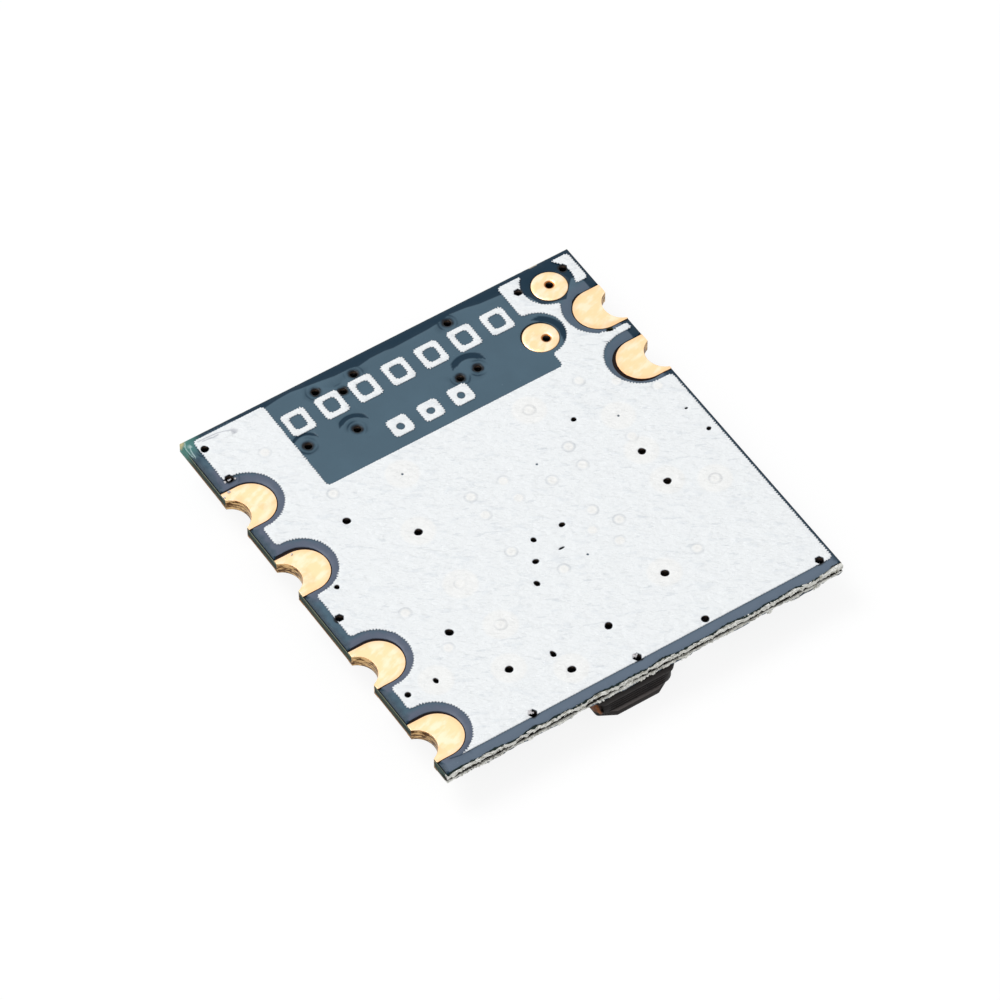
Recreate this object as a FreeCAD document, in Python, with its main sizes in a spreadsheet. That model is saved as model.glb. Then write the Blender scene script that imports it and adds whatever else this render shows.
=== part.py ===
import FreeCAD, Part
import math
import os
import Sketcher

from FreeCAD import Rotation, Vector

# A small castellated radio module, lying component side down.
# Frame in millimetres: X runs along the broken front edge, Y to the back edge and Z up.
# The origin is under the middle of the board, on the surface that the tallest parts stand on.
# Every level is counted from that surface, so the white printed face is on top.

doc = FreeCAD.newDocument("radio_module")

# Driving dimensions

SIZES = {
    # board and its skins
    "board_width": 12.2,
    "board_length": 12.9,
    "laminate_thickness": 0.32,
    "copper_thickness": 0.03,
    "mask_thickness": 0.045,
    "print_thickness": 0.03,
    "skin_setback": 0.02,
    # broken front edge, with a split along its middle
    "break_depth": 0.1,
    "break_step": 0.5,
    "split_depth": 0.18,
    "split_height": 0.035,
    # castellated contacts
    "notch_radius": 0.56,
    "notch_outset": 0.2,
    "plating": 0.03,
    "pad_radius": 0.7,
    "pad_reach": 0.47,
    "front_pad_reach": 0.8,
    "mask_gap": 0.05,
    "supply_contact_setback": 2.75,
    "data_minus_contact_setback": 5.37,
    "data_plus_contact_inset": 3.98,
    "left_ground_contact_inset": 1.21,
    "antenna_contact_setback": 2.23,
    "right_ground_contact_setback": 4.29,
    # round test pads
    "test_pad_radius": 0.5,
    "upper_test_pad_inset": 1.13,
    "upper_test_pad_setback": 0.85,
    "lower_test_pad_inset": 2.31,
    "lower_test_pad_setback": 2.21,
    # drilled and plated vias
    "drill_radius": 0.11,
    "drill_flats": 6,
    "via_plating": 0.025,
    # white print
    "print_margin_x": 0.2,
    "print_margin_y": 0.26,
    "print_shift_x": 0.1,
    "print_shift_y": 0.1,
    "via_print_gap": 0.02,
    "contact_print_gap": 0.26,
    "test_pad_print_gap": 0.25,
    "window_left": 3.62,
    "window_right": 3.74,
    "window_depth": 3.36,
    "box_stroke": 0.17,
    "box_width": 0.72,
    "box_length": 0.8,
    "box_pitch": 1.04,
    "box_row_setback": 1.12,
    "small_box_side": 0.62,
    "small_box_pitch": 0.95,
    "small_box_row_setback": 2.7,
    # solder and lands on the component side
    "solder_gap": 0.03,
    "land_toe": 0.15,
    "fillet_toe": 0.12,
    "fillet_top": 0.02,
    # wireless chip in a leadless package
    "part_margin": 1.4,
    "chip_y": -0.95,
    "chip_side": 5.0,
    "chip_height": 0.85,
    "chip_edge_bevel": 0.04,
    "chip_standoff": 0.02,
    "dimple_radius": 0.25,
    "dimple_depth": 0.05,
    "dimple_inset": 0.65,
    "lead_pitch": 0.5,
    "lead_width": 0.25,
    "lead_length": 0.4,
    "lead_thickness": 0.2,
    "lead_count": 8,
    "paddle_side": 3.4,
    # crystal can
    "crystal_gap": 0.4,
    "crystal_forward": 1.2,
    "crystal_width": 2.5,
    "crystal_length": 3.2,
    "crystal_height": 0.75,
    "crystal_wall": 0.34,
    "crystal_floor": 0.22,
    "crystal_ledge": 0.12,
    "crystal_ledge_width": 0.25,
    "lid_thickness": 0.08,
    "lid_inset": 0.1,
    "lid_corner_radius": 0.3,
    "crystal_pad_width": 0.85,
    "crystal_pad_length": 1.05,
    "crystal_pad_thickness": 0.03,
    "quartz_thickness": 0.05,
    "quartz_clearance": 0.05,
    # power inductor at the front edge
    "inductor_x": -0.27,
    "inductor_inset": 0.02,
    "inductor_width": 2.5,
    "inductor_depth": 2.0,
    "inductor_height": 0.95,
    "inductor_clip": 0.2,
    "base_flange_thickness": 0.24,
    "far_flange_thickness": 0.28,
    "far_flange_width": 2.24,
    "far_flange_clip_x": 0.48,
    "far_flange_clip_y": 0.27,
    "core_post_radius": 0.6,
    "winding_inset": 0.03,
    "winding_corner_radius": 0.35,
    "terminal_thickness": 0.05,
    "terminal_width": 0.55,
    "terminal_wrap": 0.16,
    # chip parts: end to end, across, tall, and the metal caps at their ends
    "small_chip_length": 1.0,
    "small_chip_width": 0.5,
    "small_chip_height": 0.5,
    "resistor_height": 0.35,
    "large_chip_length": 1.6,
    "large_chip_width": 0.8,
    "output_height": 0.8,
    "bulk_height": 0.95,
    "filter_length": 2.0,
    "filter_width": 1.25,
    "filter_height": 0.95,
    "cap_band": 0.24,
    "cap_coat": 0.025,
    # where the chip parts stand
    "supply_row_gap": 0.5,
    "supply_row_start": 1.35,
    "supply_row_pitch": 0.9,
    "power_part_gap": 0.55,
    "power_part_inset": 1.5,
    "crystal_part_gap": 0.4,
    "crystal_part_pitch": 0.8,
    "bulk_gap": 0.5,
    "bulk_setback": 1.3,
    "filter_inset": 3.3,
    "radio_row_setback": 3.45,
    "radio_part_gap": 0.55,
    "resistor_gap": 0.6,
    "resistor_row_gap": 0.5,
    "resistor_pitch": 0.9,
}

sheet = doc.addObject("Spreadsheet::Sheet", "Sizes")
for row, (alias, number) in enumerate(SIZES.items(), start=1):
    sheet.set(f"A{row}", alias.replace("_", " "))
    sheet.set(f"B{row}", str(number))
    sheet.setAlias(f"B{row}", alias)
doc.recompute()

# Levels and shared places that follow from the driving dimensions

DERIVED = {
    "seat": "max(Sizes.inductor_height; Sizes.bulk_height; Sizes.filter_height;"
            " Sizes.chip_height; Sizes.crystal_height; Sizes.output_height)",
    "front_face": "seat + Sizes.solder_gap + Sizes.copper_thickness",
    "back_face": "front_face + Sizes.laminate_thickness",
    "print_face": "back_face + Sizes.mask_thickness",
    "half_width": "Sizes.board_width / 2",
    "half_length": "Sizes.board_length / 2",
    "drilled_radius": "Sizes.drill_radius + Sizes.via_plating",
    "inductor_y": "-half_length + Sizes.inductor_inset + Sizes.inductor_depth / 2",
    "crystal_x": "-half_width + Sizes.part_margin + Sizes.crystal_width / 2",
    "chip_x": "crystal_x + Sizes.crystal_width / 2 + Sizes.crystal_gap + Sizes.chip_side / 2",
    "crystal_y": "Sizes.chip_y + Sizes.crystal_forward",
    "filter_x": "half_width - Sizes.filter_inset",
    "radio_y": "half_length - Sizes.radio_row_setback",
    "upper_test_pad_x": "half_width - Sizes.upper_test_pad_inset",
    "upper_test_pad_y": "half_length - Sizes.upper_test_pad_setback",
    "lower_test_pad_x": "half_width - Sizes.lower_test_pad_inset",
    "lower_test_pad_y": "half_length - Sizes.lower_test_pad_setback",
}

levels = doc.addObject("App::VarSet", "Levels")
for name, formula in DERIVED.items():
    levels.addProperty("App::PropertyFloat", name, "Levels")
    levels.setExpression(name, formula)
doc.recompute()

HALF_WIDTH = "Levels.half_width"
HALF_LENGTH = "Levels.half_length"
SEAT = "Levels.seat"
LAND_FACE = "(Levels.seat + Sizes.solder_gap)"
FRONT_FACE = "Levels.front_face"
BACK_FACE = "Levels.back_face"
PRINT_FACE = "Levels.print_face"

# Contacts: name, side of the board (-1 left, 1 right), place along it, and how far the notch drill
# missed the pad's middle

CONTACTS = [
    ("supply_contact", -1, f"({HALF_LENGTH} - Sizes.supply_contact_setback)", -0.07),
    ("data_minus_contact", -1, f"({HALF_LENGTH} - Sizes.data_minus_contact_setback)", 0.05),
    ("data_plus_contact", -1, f"(-{HALF_LENGTH} + Sizes.data_plus_contact_inset)", 0.0),
    ("left_ground_contact", -1, f"(-{HALF_LENGTH} + Sizes.left_ground_contact_inset)", -0.03),
    ("antenna_contact", 1, f"({HALF_LENGTH} - Sizes.antenna_contact_setback)", -0.14),
    ("right_ground_contact", 1, f"({HALF_LENGTH} - Sizes.right_ground_contact_setback)", -0.1),
]

# Open vias, each counted from what it belongs to, in millimetres

VIAS_FROM_LEFT_BACK = [
    (0.45, 0.52), (0.46, 1.73), (2.77, 1.93), (3.9, 0.49), (4.15, 2.16), (4.53, 0.87), (5.07, 0.53),
]
VIAS_FROM_RIGHT_BACK = [(0.48, 0.52), (4.1, 0.42), (1.96, 0.59), (0.63, 3.02), (4.85, 2.2), (4.28, 2.17)]
VIAS_FROM_LEFT_FRONT = [
    (0.4, 5.72), (0.89, 6.6), (0.55, 2.69), (1.38, 2.67), (2.27, 8.32), (2.51, 3.8), (3.14, 1.97),
    (2.86, 0.45), (3.62, 6.98),
]
VIAS_FROM_RIGHT_FRONT = [
    (0.45, 0.47), (0.45, 6.54), (0.35, 5.65), (2.24, 4.82), (2.24, 6.01), (3.13, 7.86),
]
VIAS_FROM_CHIP = [
    (-1.55, -1.64), (-1.18, -1.03), (-0.83, -0.4), (-0.38, -1.05), (0.06, -0.41),
    (1.39, -3.16), (-0.77, -3.77), (-2.33, -4.41), (-2.45, -3.75),
]
VIAS_FROM_FRONT_MIDDLE = [(-0.03, 0.47), (2.13, 0.55)]


def via_places():
    """Every open via as a pair of formulas for X and Y."""
    places = [(f"-{HALF_WIDTH} + {a}", f"{HALF_LENGTH} - {b}") for a, b in VIAS_FROM_LEFT_BACK]
    places += [(f"{HALF_WIDTH} - {a}", f"{HALF_LENGTH} - {b}") for a, b in VIAS_FROM_RIGHT_BACK]
    places += [(f"-{HALF_WIDTH} + {a}", f"-{HALF_LENGTH} + {b}") for a, b in VIAS_FROM_LEFT_FRONT]
    places += [(f"{HALF_WIDTH} - {a}", f"-{HALF_LENGTH} + {b}") for a, b in VIAS_FROM_RIGHT_FRONT]
    places += [(f"Levels.chip_x + {a}", f"Sizes.chip_y + {b}") for a, b in VIAS_FROM_CHIP]
    places += [(f"{a}", f"-{HALF_LENGTH} + {b}") for a, b in VIAS_FROM_FRONT_MIDDLE]
    return places


# Test pads: name, place, and how far the drill missed the middle

TEST_PADS = [
    ("upper_test_pad", "Levels.upper_test_pad_x", "Levels.upper_test_pad_y", (0.03, 0.05)),
    ("lower_test_pad", "Levels.lower_test_pad_x", "Levels.lower_test_pad_y", (0.12, -0.09)),
]
VIAS = via_places()
DRILLS = VIAS + [(f"{x} + {drift[0]}", f"{y} + {drift[1]}") for _, x, y, drift in TEST_PADS]

# Helpers for sketches, bodies and solids


def value(formula):
    """Number that a formula over the sheet gives."""
    return float(levels.evalExpression(formula))


def new_body(label, level, turned_over=False):
    """Body that starts at a named level; turned over, it grows downwards."""
    body = doc.addObject("PartDesign::Body", label)
    body.Label = label
    if turned_over:
        body.Placement.Rotation = Rotation(Vector(1, 0, 0), 180)
    body.setExpression("Placement.Base.z", level)
    return body


def move_to(thing, x, y):
    """Bind where a solid stands on the board."""
    thing.setExpression("Placement.Base.x", x)
    thing.setExpression("Placement.Base.y", y)


def new_sketch(body, name, height=None):
    """Sketch on the body's own XY plane, or above it."""
    sketch = body.newObject("Sketcher::SketchObject", name)
    plane = next(part for part in body.Origin.OriginFeatures if part.Role == "XY_Plane")
    sketch.AttachmentSupport = (plane, [""])
    sketch.MapMode = "FlatFace"
    if height:
        sketch.setExpression("AttachmentOffset.Base.z", height)
    return sketch


def drive(sketch, constraints):
    """Add (kind, targets, formula) constraints and bind each to its formula."""
    made = [Sketcher.Constraint(kind, *targets, value(formula)) for kind, targets, formula in constraints]
    first = sketch.ConstraintCount
    sketch.addConstraint(made)
    for number, (kind, targets, formula) in enumerate(constraints):
        sketch.setExpression(f"Constraints[{first + number}]", formula)


def add_circles(sketch, places, radius):
    """Circles of one radius at driven places."""
    first = sketch.GeometryCount
    up = Vector(0, 0, 1)
    rings = [Part.Circle(Vector(value(x), value(y), 0), up, value(radius)) for x, y in places]
    sketch.addGeometry(rings, False)
    driven = []
    for number, (x, y) in enumerate(places, start=first):
        driven.append(("DistanceX", (number, 3), x))
        driven.append(("DistanceY", (number, 3), y))
        driven.append(("Radius", (number,), radius))
    drive(sketch, driven)


def add_outline(sketch, corners, arcs=None):
    """Closed outline through driven corners.

    arcs maps the number of the corner that an arc leaves to its radius and a point that it bulges
    through; a radius of None makes a half circle about the middle of its two corners.
    """
    arcs = arcs or {}
    points = [Vector(value(x), value(y), 0) for x, y in corners]
    first = sketch.GeometryCount
    for number, start in enumerate(points):
        end = points[(number + 1) % len(points)]
        if number in arcs:
            bulge = Vector(value(arcs[number][1][0]), value(arcs[number][1][1]), 0)
            sketch.addGeometry(Part.Arc(start, bulge, end), False)
        else:
            sketch.addGeometry(Part.LineSegment(start, end), False)
    near = []
    for number, start in enumerate(points):
        reversed_arc = (sketch.getPoint(first + number, 1) - start).Length > 1e-6
        near.append(2 if reversed_arc else 1)
    joined = []
    driven = []
    for number, (x, y) in enumerate(corners):
        following = (number + 1) % len(corners)
        joined.append(Sketcher.Constraint(
            "Coincident", first + number, 3 - near[number], first + following, near[following]))
        driven.append(("DistanceX", (first + number, near[number]), x))
        driven.append(("DistanceY", (first + number, near[number]), y))
        if number in arcs and arcs[number][0]:
            driven.append(("Radius", (first + number,), arcs[number][0]))
        elif number in arcs:
            driven.append(("DistanceX", (first + number, 3), x))
    sketch.addConstraint(joined)
    drive(sketch, driven)


def add_rectangle(sketch, left, right, front, back):
    """Driven rectangle given by its four sides."""
    add_outline(sketch, [(left, front), (right, front), (right, back), (left, back)])


def pad(body, sketch, length):
    """Raise a sketch from its plane."""
    feature = body.newObject("PartDesign::Pad", "Raised")
    feature.Profile = sketch
    feature.setExpression("Length", length)
    body.Tip = feature
    return feature


def pocket(body, sketch, depth=None):
    """Cut a sketch upwards from its plane, right through where no depth is given."""
    feature = body.newObject("PartDesign::Pocket", "Cut")
    feature.Profile = sketch
    feature.Reversed = True
    if depth:
        feature.setExpression("Length", depth)
    else:
        feature.Type = "ThroughAll"
    body.Tip = feature
    return feature


def block(name, x, y, top, length, width, height):
    """Box centred on x and y that hangs down from a level."""
    box = doc.addObject("Part::Box", name)
    box.setExpression("Length", length)
    box.setExpression("Width", width)
    box.setExpression("Height", height)
    move_to(box, f"{x} - ({length}) / 2", f"{y} - ({width}) / 2")
    box.setExpression("Placement.Base.z", f"{top} - ({height})")
    return box


def group(kind, name, shapes):
    """Several solids as one compound or one fused solid."""
    thing = doc.addObject(f"Part::{kind}", name)
    setattr(thing, "Links" if kind == "Compound" else "Shapes", shapes)
    return thing


def cut(label, base, tool):
    """Base less tool."""
    thing = doc.addObject("Part::Cut", label)
    thing.Label = label
    thing.Base = base
    thing.Tool = tool
    return thing


# Broken front edge: each layer of the glass laminate tears to its own ragged line


def torn_front(name, low, high, phase):
    """Cutter for the front of one layer, with a ragged line from two waves out of step."""
    cutter = doc.addObject("Part::Feature", name)
    half = value(HALF_WIDTH)
    edge = -value(HALF_LENGTH)
    depth = sheet.break_depth
    steps = max(4, round(2 * half / sheet.break_step))
    points = []
    for number in range(steps + 1):
        wave = math.sin(2.4 * number + phase) * math.cos(0.7 * number + 2 * phase)
        along = -half + 2 * half * number / steps
        points.append(Vector(along, edge + depth * (1 + wave) / 2, low))
    outside = edge - depth
    outline = [Vector(-half - depth, outside, low), Vector(-half - depth, points[0].y, low)]
    outline += points
    outline += [Vector(half + depth, points[-1].y, low), Vector(half + depth, outside, low)]
    face = Part.Face(Part.makePolygon(outline + outline[:1]))
    cutter.Shape = face.extrude(Vector(0, 0, high - low))
    return cutter


def front_split():
    """Thin slit along the middle of the broken edge."""
    middle = f"({FRONT_FACE} + Sizes.laminate_thickness / 2 + Sizes.split_height / 2)"
    depth = "(2 * Sizes.split_depth)"
    return block("front_split", "0", f"-{HALF_LENGTH}", middle, "(Sizes.board_width + 1)", depth,
                 "Sizes.split_height")


# Castellated contacts: a pad on either face joined by a plated half-round wall


def lobe_outline(sketch):
    """Pad outline inwards from the board's edge, ending in a half circle."""
    radius = "Sizes.pad_radius"
    add_outline(
        sketch,
        [("0", f"-{radius}"), ("Sizes.pad_reach", f"-{radius}"), ("Sizes.pad_reach", radius), ("0", radius)],
        {1: (None, (f"Sizes.pad_reach + {radius}", "0"))},
    )


def castellated_contact(label, side, along, drift):
    """One contact: lobed pad above, short square pad below, and the plated notch between them."""
    body = new_body(label, FRONT_FACE)
    middle = str(-side * drift)
    outer = "(Sizes.notch_radius + Sizes.plating)"
    reach = f"sqrt({outer} ^ 2 - Sizes.notch_outset ^ 2)"
    height = "Sizes.laminate_thickness + 2 * Sizes.copper_thickness"
    lower = new_sketch(body, "LowerPad", "-Sizes.copper_thickness")
    add_rectangle(lower, "0", "Sizes.front_pad_reach", "-Sizes.pad_radius", "Sizes.pad_radius")
    pad(body, lower, "Sizes.copper_thickness")
    wall = new_sketch(body, "NotchWall", "-Sizes.copper_thickness")
    add_outline(wall, [("0", f"{middle} - {reach}"), ("0", f"{middle} + {reach}")],
                {0: (outer, (f"{outer} - Sizes.notch_outset", middle))})
    pad(body, wall, height)
    upper = new_sketch(body, "UpperPad", "Sizes.laminate_thickness")
    lobe_outline(upper)
    pad(body, upper, "Sizes.copper_thickness")
    hole = new_sketch(body, "NotchDrill", "-Sizes.copper_thickness")
    add_circles(hole, [("-Sizes.notch_outset", middle)], "Sizes.notch_radius")
    pocket(body, hole)
    body.Placement.Rotation = Rotation(Vector(0, 0, 1), 0 if side < 0 else 180)
    move_to(body, f"{side} * {HALF_WIDTH}", along)
    return body


def notch_places():
    """Centres of the six notch drills, just outside the board."""
    return [(f"{side} * ({HALF_WIDTH} + Sizes.notch_outset)", f"{along} + {drift}")
            for _, side, along, drift in CONTACTS]


def lobe_cutter(name, side, along, low, height, grow):
    """Pad outline grown by a gap and open past the board's edge, as a cutter."""
    radius = f"(Sizes.pad_radius + {grow})"
    centre_x = f"{side} * ({HALF_WIDTH} - Sizes.pad_reach)"
    disc = disc_cutter(f"{name}_disc", centre_x, along, low, height, radius)
    bar = block(f"{name}_bar", f"{side} * {HALF_WIDTH}", along, f"{low} + {height}",
                "2 * Sizes.pad_reach", f"2 * {radius}", height)
    return group("MultiFuse", name, [disc, bar])


def drill_set(name, places, low, height, radius):
    """Prisms for the small drilled holes: a few flats each keep the facets down."""
    prisms = []
    for x, y in places:
        prism = doc.addObject("Part::Prism", f"{name}_drill")
        prism.setExpression("Polygon", "Sizes.drill_flats")
        prism.setExpression("Circumradius", radius)
        prism.setExpression("Height", height)
        move_to(prism, x, y)
        prism.setExpression("Placement.Base.z", low)
        prisms.append(prism)
    return group("Compound", name, prisms)


def disc_cutter(name, x, y, low, height, radius):
    """Round cutter."""
    disc = doc.addObject("Part::Cylinder", name)
    disc.setExpression("Radius", radius)
    disc.setExpression("Height", height)
    move_to(disc, x, y)
    disc.setExpression("Placement.Base.z", low)
    return disc


# Board, plating, test pads and solder mask


def board_laminate():
    """Glass laminate with notch and via drills and its broken front edge."""
    body = new_body("laminate_blank", FRONT_FACE)
    outline = new_sketch(body, "Outline")
    add_rectangle(outline, f"-{HALF_WIDTH}", HALF_WIDTH, f"-{HALF_LENGTH}", HALF_LENGTH)
    pad(body, outline, "Sizes.laminate_thickness")
    notches = new_sketch(body, "Notches")
    add_circles(notches, notch_places(), "Sizes.notch_radius + Sizes.plating")
    pocket(body, notches)
    drills = drill_set("laminate_drills", DRILLS, FRONT_FACE, "Sizes.laminate_thickness",
                       "Levels.drilled_radius")
    low = value(FRONT_FACE)
    high = value(BACK_FACE)
    middle = (low + high) / 2
    lower = torn_front("torn_lower_layer", low, middle, 0.3)
    upper = torn_front("torn_upper_layer", middle, high, 1.7)
    tools = group("Compound", "front_tools", [lower, upper])
    drilled = cut("laminate_drilled", body, drills)
    return cut("board_laminate", cut("laminate_torn", drilled, tools), front_split())


def via_barrels():
    """Plated tubes of the open vias, one solid each."""
    height = "Sizes.laminate_thickness"
    outer = drill_set("barrel_outsides", DRILLS, FRONT_FACE, height, "Levels.drilled_radius")
    inner = drill_set("barrel_bores", DRILLS, FRONT_FACE, height, "Sizes.drill_radius")
    return cut("via_barrels", outer, inner)


def test_pad(label, x, y, drift):
    """Round gold pad with a via through it."""
    disc = disc_cutter(f"{label}_disc", x, y, BACK_FACE, "Sizes.copper_thickness", "Sizes.test_pad_radius")
    drilled_at = [(f"{x} + {drift[0]}", f"{y} + {drift[1]}")]
    hole = drill_set(f"{label}_hole", drilled_at, BACK_FACE, "Sizes.copper_thickness", "Sizes.drill_radius")
    return cut(label, disc, hole)


def mask_blank(name, level):
    """Solder mask over the whole board, with its front torn along with the laminate."""
    body = new_body(name, level)
    outline = new_sketch(body, "Outline")
    side = f"({HALF_WIDTH} - Sizes.skin_setback)"
    end = f"({HALF_LENGTH} - Sizes.skin_setback)"
    add_rectangle(outline, f"-{side}", side, f"-{end}", end)
    pad(body, outline, "Sizes.mask_thickness")
    return body


def solder_mask_back():
    """Blue mask under the white print, open at contacts, test pads and vias."""
    body = mask_blank("mask_back_blank", BACK_FACE)
    drills = drill_set("mask_drills", VIAS, BACK_FACE, "Sizes.mask_thickness", "Sizes.drill_radius")
    tools = []
    for label, side, along, _ in CONTACTS:
        tools.append(lobe_cutter(f"back_open_{label}", side, along, BACK_FACE, "Sizes.mask_thickness",
                                 "Sizes.mask_gap"))
    for label, x, y, _ in TEST_PADS:
        tools.append(disc_cutter(f"back_open_{label}", x, y, BACK_FACE, "Sizes.mask_thickness",
                                 "Sizes.test_pad_radius + Sizes.mask_gap"))
    tools.append(torn_front("torn_back_mask", value(BACK_FACE), value(PRINT_FACE), 1.7))
    drilled = cut("mask_drilled", body, drills)
    return cut("solder_mask_back", drilled, group("Compound", "back_mask_tools", tools))


# White print on the back


def silkscreen_back():
    """White print field with its window, pad clearances, via holes and empty marking boxes."""
    body = new_body("print_field", PRINT_FACE)
    field = new_sketch(body, "Field")
    side = f"({HALF_WIDTH} - Sizes.print_margin_x)"
    end = f"({HALF_LENGTH} - Sizes.print_margin_y)"
    left = f"-{side} + Sizes.print_shift_x"
    right = f"{side} + Sizes.print_shift_x"
    front = f"-{end} + Sizes.print_shift_y"
    back = f"{end} + Sizes.print_shift_y"
    floor = f"({HALF_LENGTH} - Sizes.window_depth)"
    add_outline(field, [
        (left, front), (right, front), (right, back),
        ("Sizes.window_right", back), ("Sizes.window_right", floor),
        ("-Sizes.window_left", floor), ("-Sizes.window_left", back), (left, back),
    ])
    pad(body, field, "Sizes.print_thickness")
    tools = []
    for label, contact_side, along, _ in CONTACTS:
        tools.append(lobe_cutter(f"print_open_{label}", contact_side, f"{along} + Sizes.print_shift_y",
                                 PRINT_FACE, "Sizes.print_thickness", "Sizes.contact_print_gap"))
    for label, x, y, _ in TEST_PADS:
        tools.append(disc_cutter(f"print_open_{label}", x, f"{y} + Sizes.print_shift_y", PRINT_FACE,
                                 "Sizes.print_thickness", "Sizes.test_pad_radius + Sizes.test_pad_print_gap"))
    cleared = cut("print_cleared", body, group("Compound", "print_tools", tools))
    boxes = marking_boxes("box", 7, "Sizes.box_width", "Sizes.box_length", "Sizes.box_pitch",
                          "Sizes.box_row_setback")
    boxes += marking_boxes("small_box", 3, "Sizes.small_box_side", "Sizes.small_box_side",
                           "Sizes.small_box_pitch", "Sizes.small_box_row_setback")
    holes = drill_set("print_holes", VIAS, PRINT_FACE, "Sizes.print_thickness",
                      "Sizes.drill_radius + Sizes.via_print_gap")
    return cut("silkscreen_back", group("Compound", "print_marks", [cleared] + boxes), holes)


def marking_boxes(name, count, width, length, pitch, setback):
    """Row of empty printed frames in the window, as a batch mark would be ticked in."""
    boxes = []
    for number in range(count):
        x = f"({number} - ({count} - 1) / 2) * {pitch}"
        y = f"({HALF_LENGTH} - {setback})"
        top = f"({PRINT_FACE} + Sizes.print_thickness)"
        outer = block(f"{name}_outer", x, y, top, width, length, "Sizes.print_thickness")
        inner = block(f"{name}_inner", x, y, top, f"{width} - 2 * Sizes.box_stroke",
                      f"{length} - 2 * Sizes.box_stroke", "Sizes.print_thickness")
        boxes.append(cut(f"{name}_{number + 1}", outer, inner))
    return boxes


# Chip parts with a metal cap at each end

SMALL = ("Sizes.small_chip_length", "Sizes.small_chip_width", "Sizes.small_chip_height")
RESISTOR = ("Sizes.small_chip_length", "Sizes.small_chip_width", "Sizes.resistor_height")
OUTPUT = ("Sizes.large_chip_length", "Sizes.large_chip_width", "Sizes.output_height")
BULK = ("Sizes.large_chip_length", "Sizes.large_chip_width", "Sizes.bulk_height")
FILTER = ("Sizes.filter_length", "Sizes.filter_width", "Sizes.filter_height")

CHIP_RIGHT = "(Levels.chip_x + Sizes.chip_side / 2)"
INDUCTOR_LEFT = "(Sizes.inductor_x - Sizes.inductor_width / 2)"
INDUCTOR_RIGHT = "(Sizes.inductor_x + Sizes.inductor_width / 2)"
TERMINAL_SPAN = "(Sizes.inductor_depth - 2 * Sizes.inductor_clip)"
CRYSTAL_FRONT = "(Levels.crystal_y - Sizes.crystal_length / 2)"
POWER_Y = f"(-{HALF_LENGTH} + Sizes.power_part_inset)"
FILTER_RIGHT = "(Levels.filter_x + Sizes.filter_length / 2)"
FILTER_LEFT = "(Levels.filter_x - Sizes.filter_length / 2)"
MATCHING_X = f"({FILTER_LEFT} - Sizes.radio_part_gap - Sizes.small_chip_length / 2)"
SHUNT_X = f"({MATCHING_X} - Sizes.small_chip_length / 2 - Sizes.radio_part_gap - Sizes.small_chip_width / 2)"
RESISTOR_X = f"({SHUNT_X} - Sizes.small_chip_width / 2 - Sizes.resistor_gap - Sizes.small_chip_length / 2)"
BULK_X = f"({RESISTOR_X} - Sizes.small_chip_length / 2 - Sizes.bulk_gap - Sizes.large_chip_length / 2)"
CRYSTAL_BACK = "(Levels.crystal_y + Sizes.crystal_length / 2)"


def chip_parts():
    """Name, sizes, place and whether the part lies along Y, for each capped chip part."""
    parts = []
    for number in range(4):
        x = f"({CHIP_RIGHT} + Sizes.supply_row_gap + Sizes.small_chip_length / 2)"
        y = f"(Sizes.chip_y + Sizes.supply_row_start - {number} * Sizes.supply_row_pitch)"
        parts.append((f"supply_capacitor_{number + 1}", SMALL, x, y, False))
    for number in range(2):
        y = (f"({CRYSTAL_FRONT} - Sizes.crystal_part_gap - Sizes.small_chip_width / 2"
             f" - {number} * Sizes.crystal_part_pitch)")
        parts.append((f"crystal_capacitor_{number + 1}", SMALL, "Levels.crystal_x", y, False))
    input_x = f"({INDUCTOR_LEFT} - Sizes.power_part_gap - Sizes.small_chip_width / 2)"
    output_x = f"({INDUCTOR_RIGHT} + Sizes.power_part_gap + Sizes.large_chip_width / 2)"
    parts.append(("input_capacitor", SMALL, input_x, POWER_Y, True))
    parts.append(("output_capacitor", OUTPUT, output_x, POWER_Y, True))
    parts.append(("bulk_capacitor", BULK, BULK_X, f"({HALF_LENGTH} - Sizes.bulk_setback)", False))
    parts.append(("radio_filter", FILTER, "Levels.filter_x", "Levels.radio_y", False))
    antenna_x = f"({FILTER_RIGHT} + Sizes.radio_part_gap + Sizes.small_chip_width / 2)"
    parts.append(("antenna_capacitor", SMALL, antenna_x, "Levels.radio_y", True))
    parts.append(("matching_inductor", SMALL, MATCHING_X, "Levels.radio_y", False))
    parts.append(("matching_capacitor", SMALL, SHUNT_X, "Levels.radio_y", True))
    for number, name in enumerate(("bias_resistor", "pull_up_resistor")):
        y = (f"({CRYSTAL_BACK} + Sizes.resistor_row_gap + Sizes.small_chip_width / 2"
             f" + {number} * Sizes.resistor_pitch)")
        parts.append((name, RESISTOR, RESISTOR_X, y, False))
    return parts


PARTS = chip_parts()


def end_places(sizes, x, y, along_y, inset):
    """Centres of a chip part's two ends, each set in from the end by a length."""
    offset = f"({sizes[0]} / 2 - ({inset}))"
    if along_y:
        return [(x, f"{y} - {offset}"), (x, f"{y} + {offset}")]
    return [(f"{x} - {offset}", y), (f"{x} + {offset}", y)]


def spans(length, width, along_y):
    """Length and width as extents along X and Y."""
    return (width, length) if along_y else (length, width)


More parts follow.
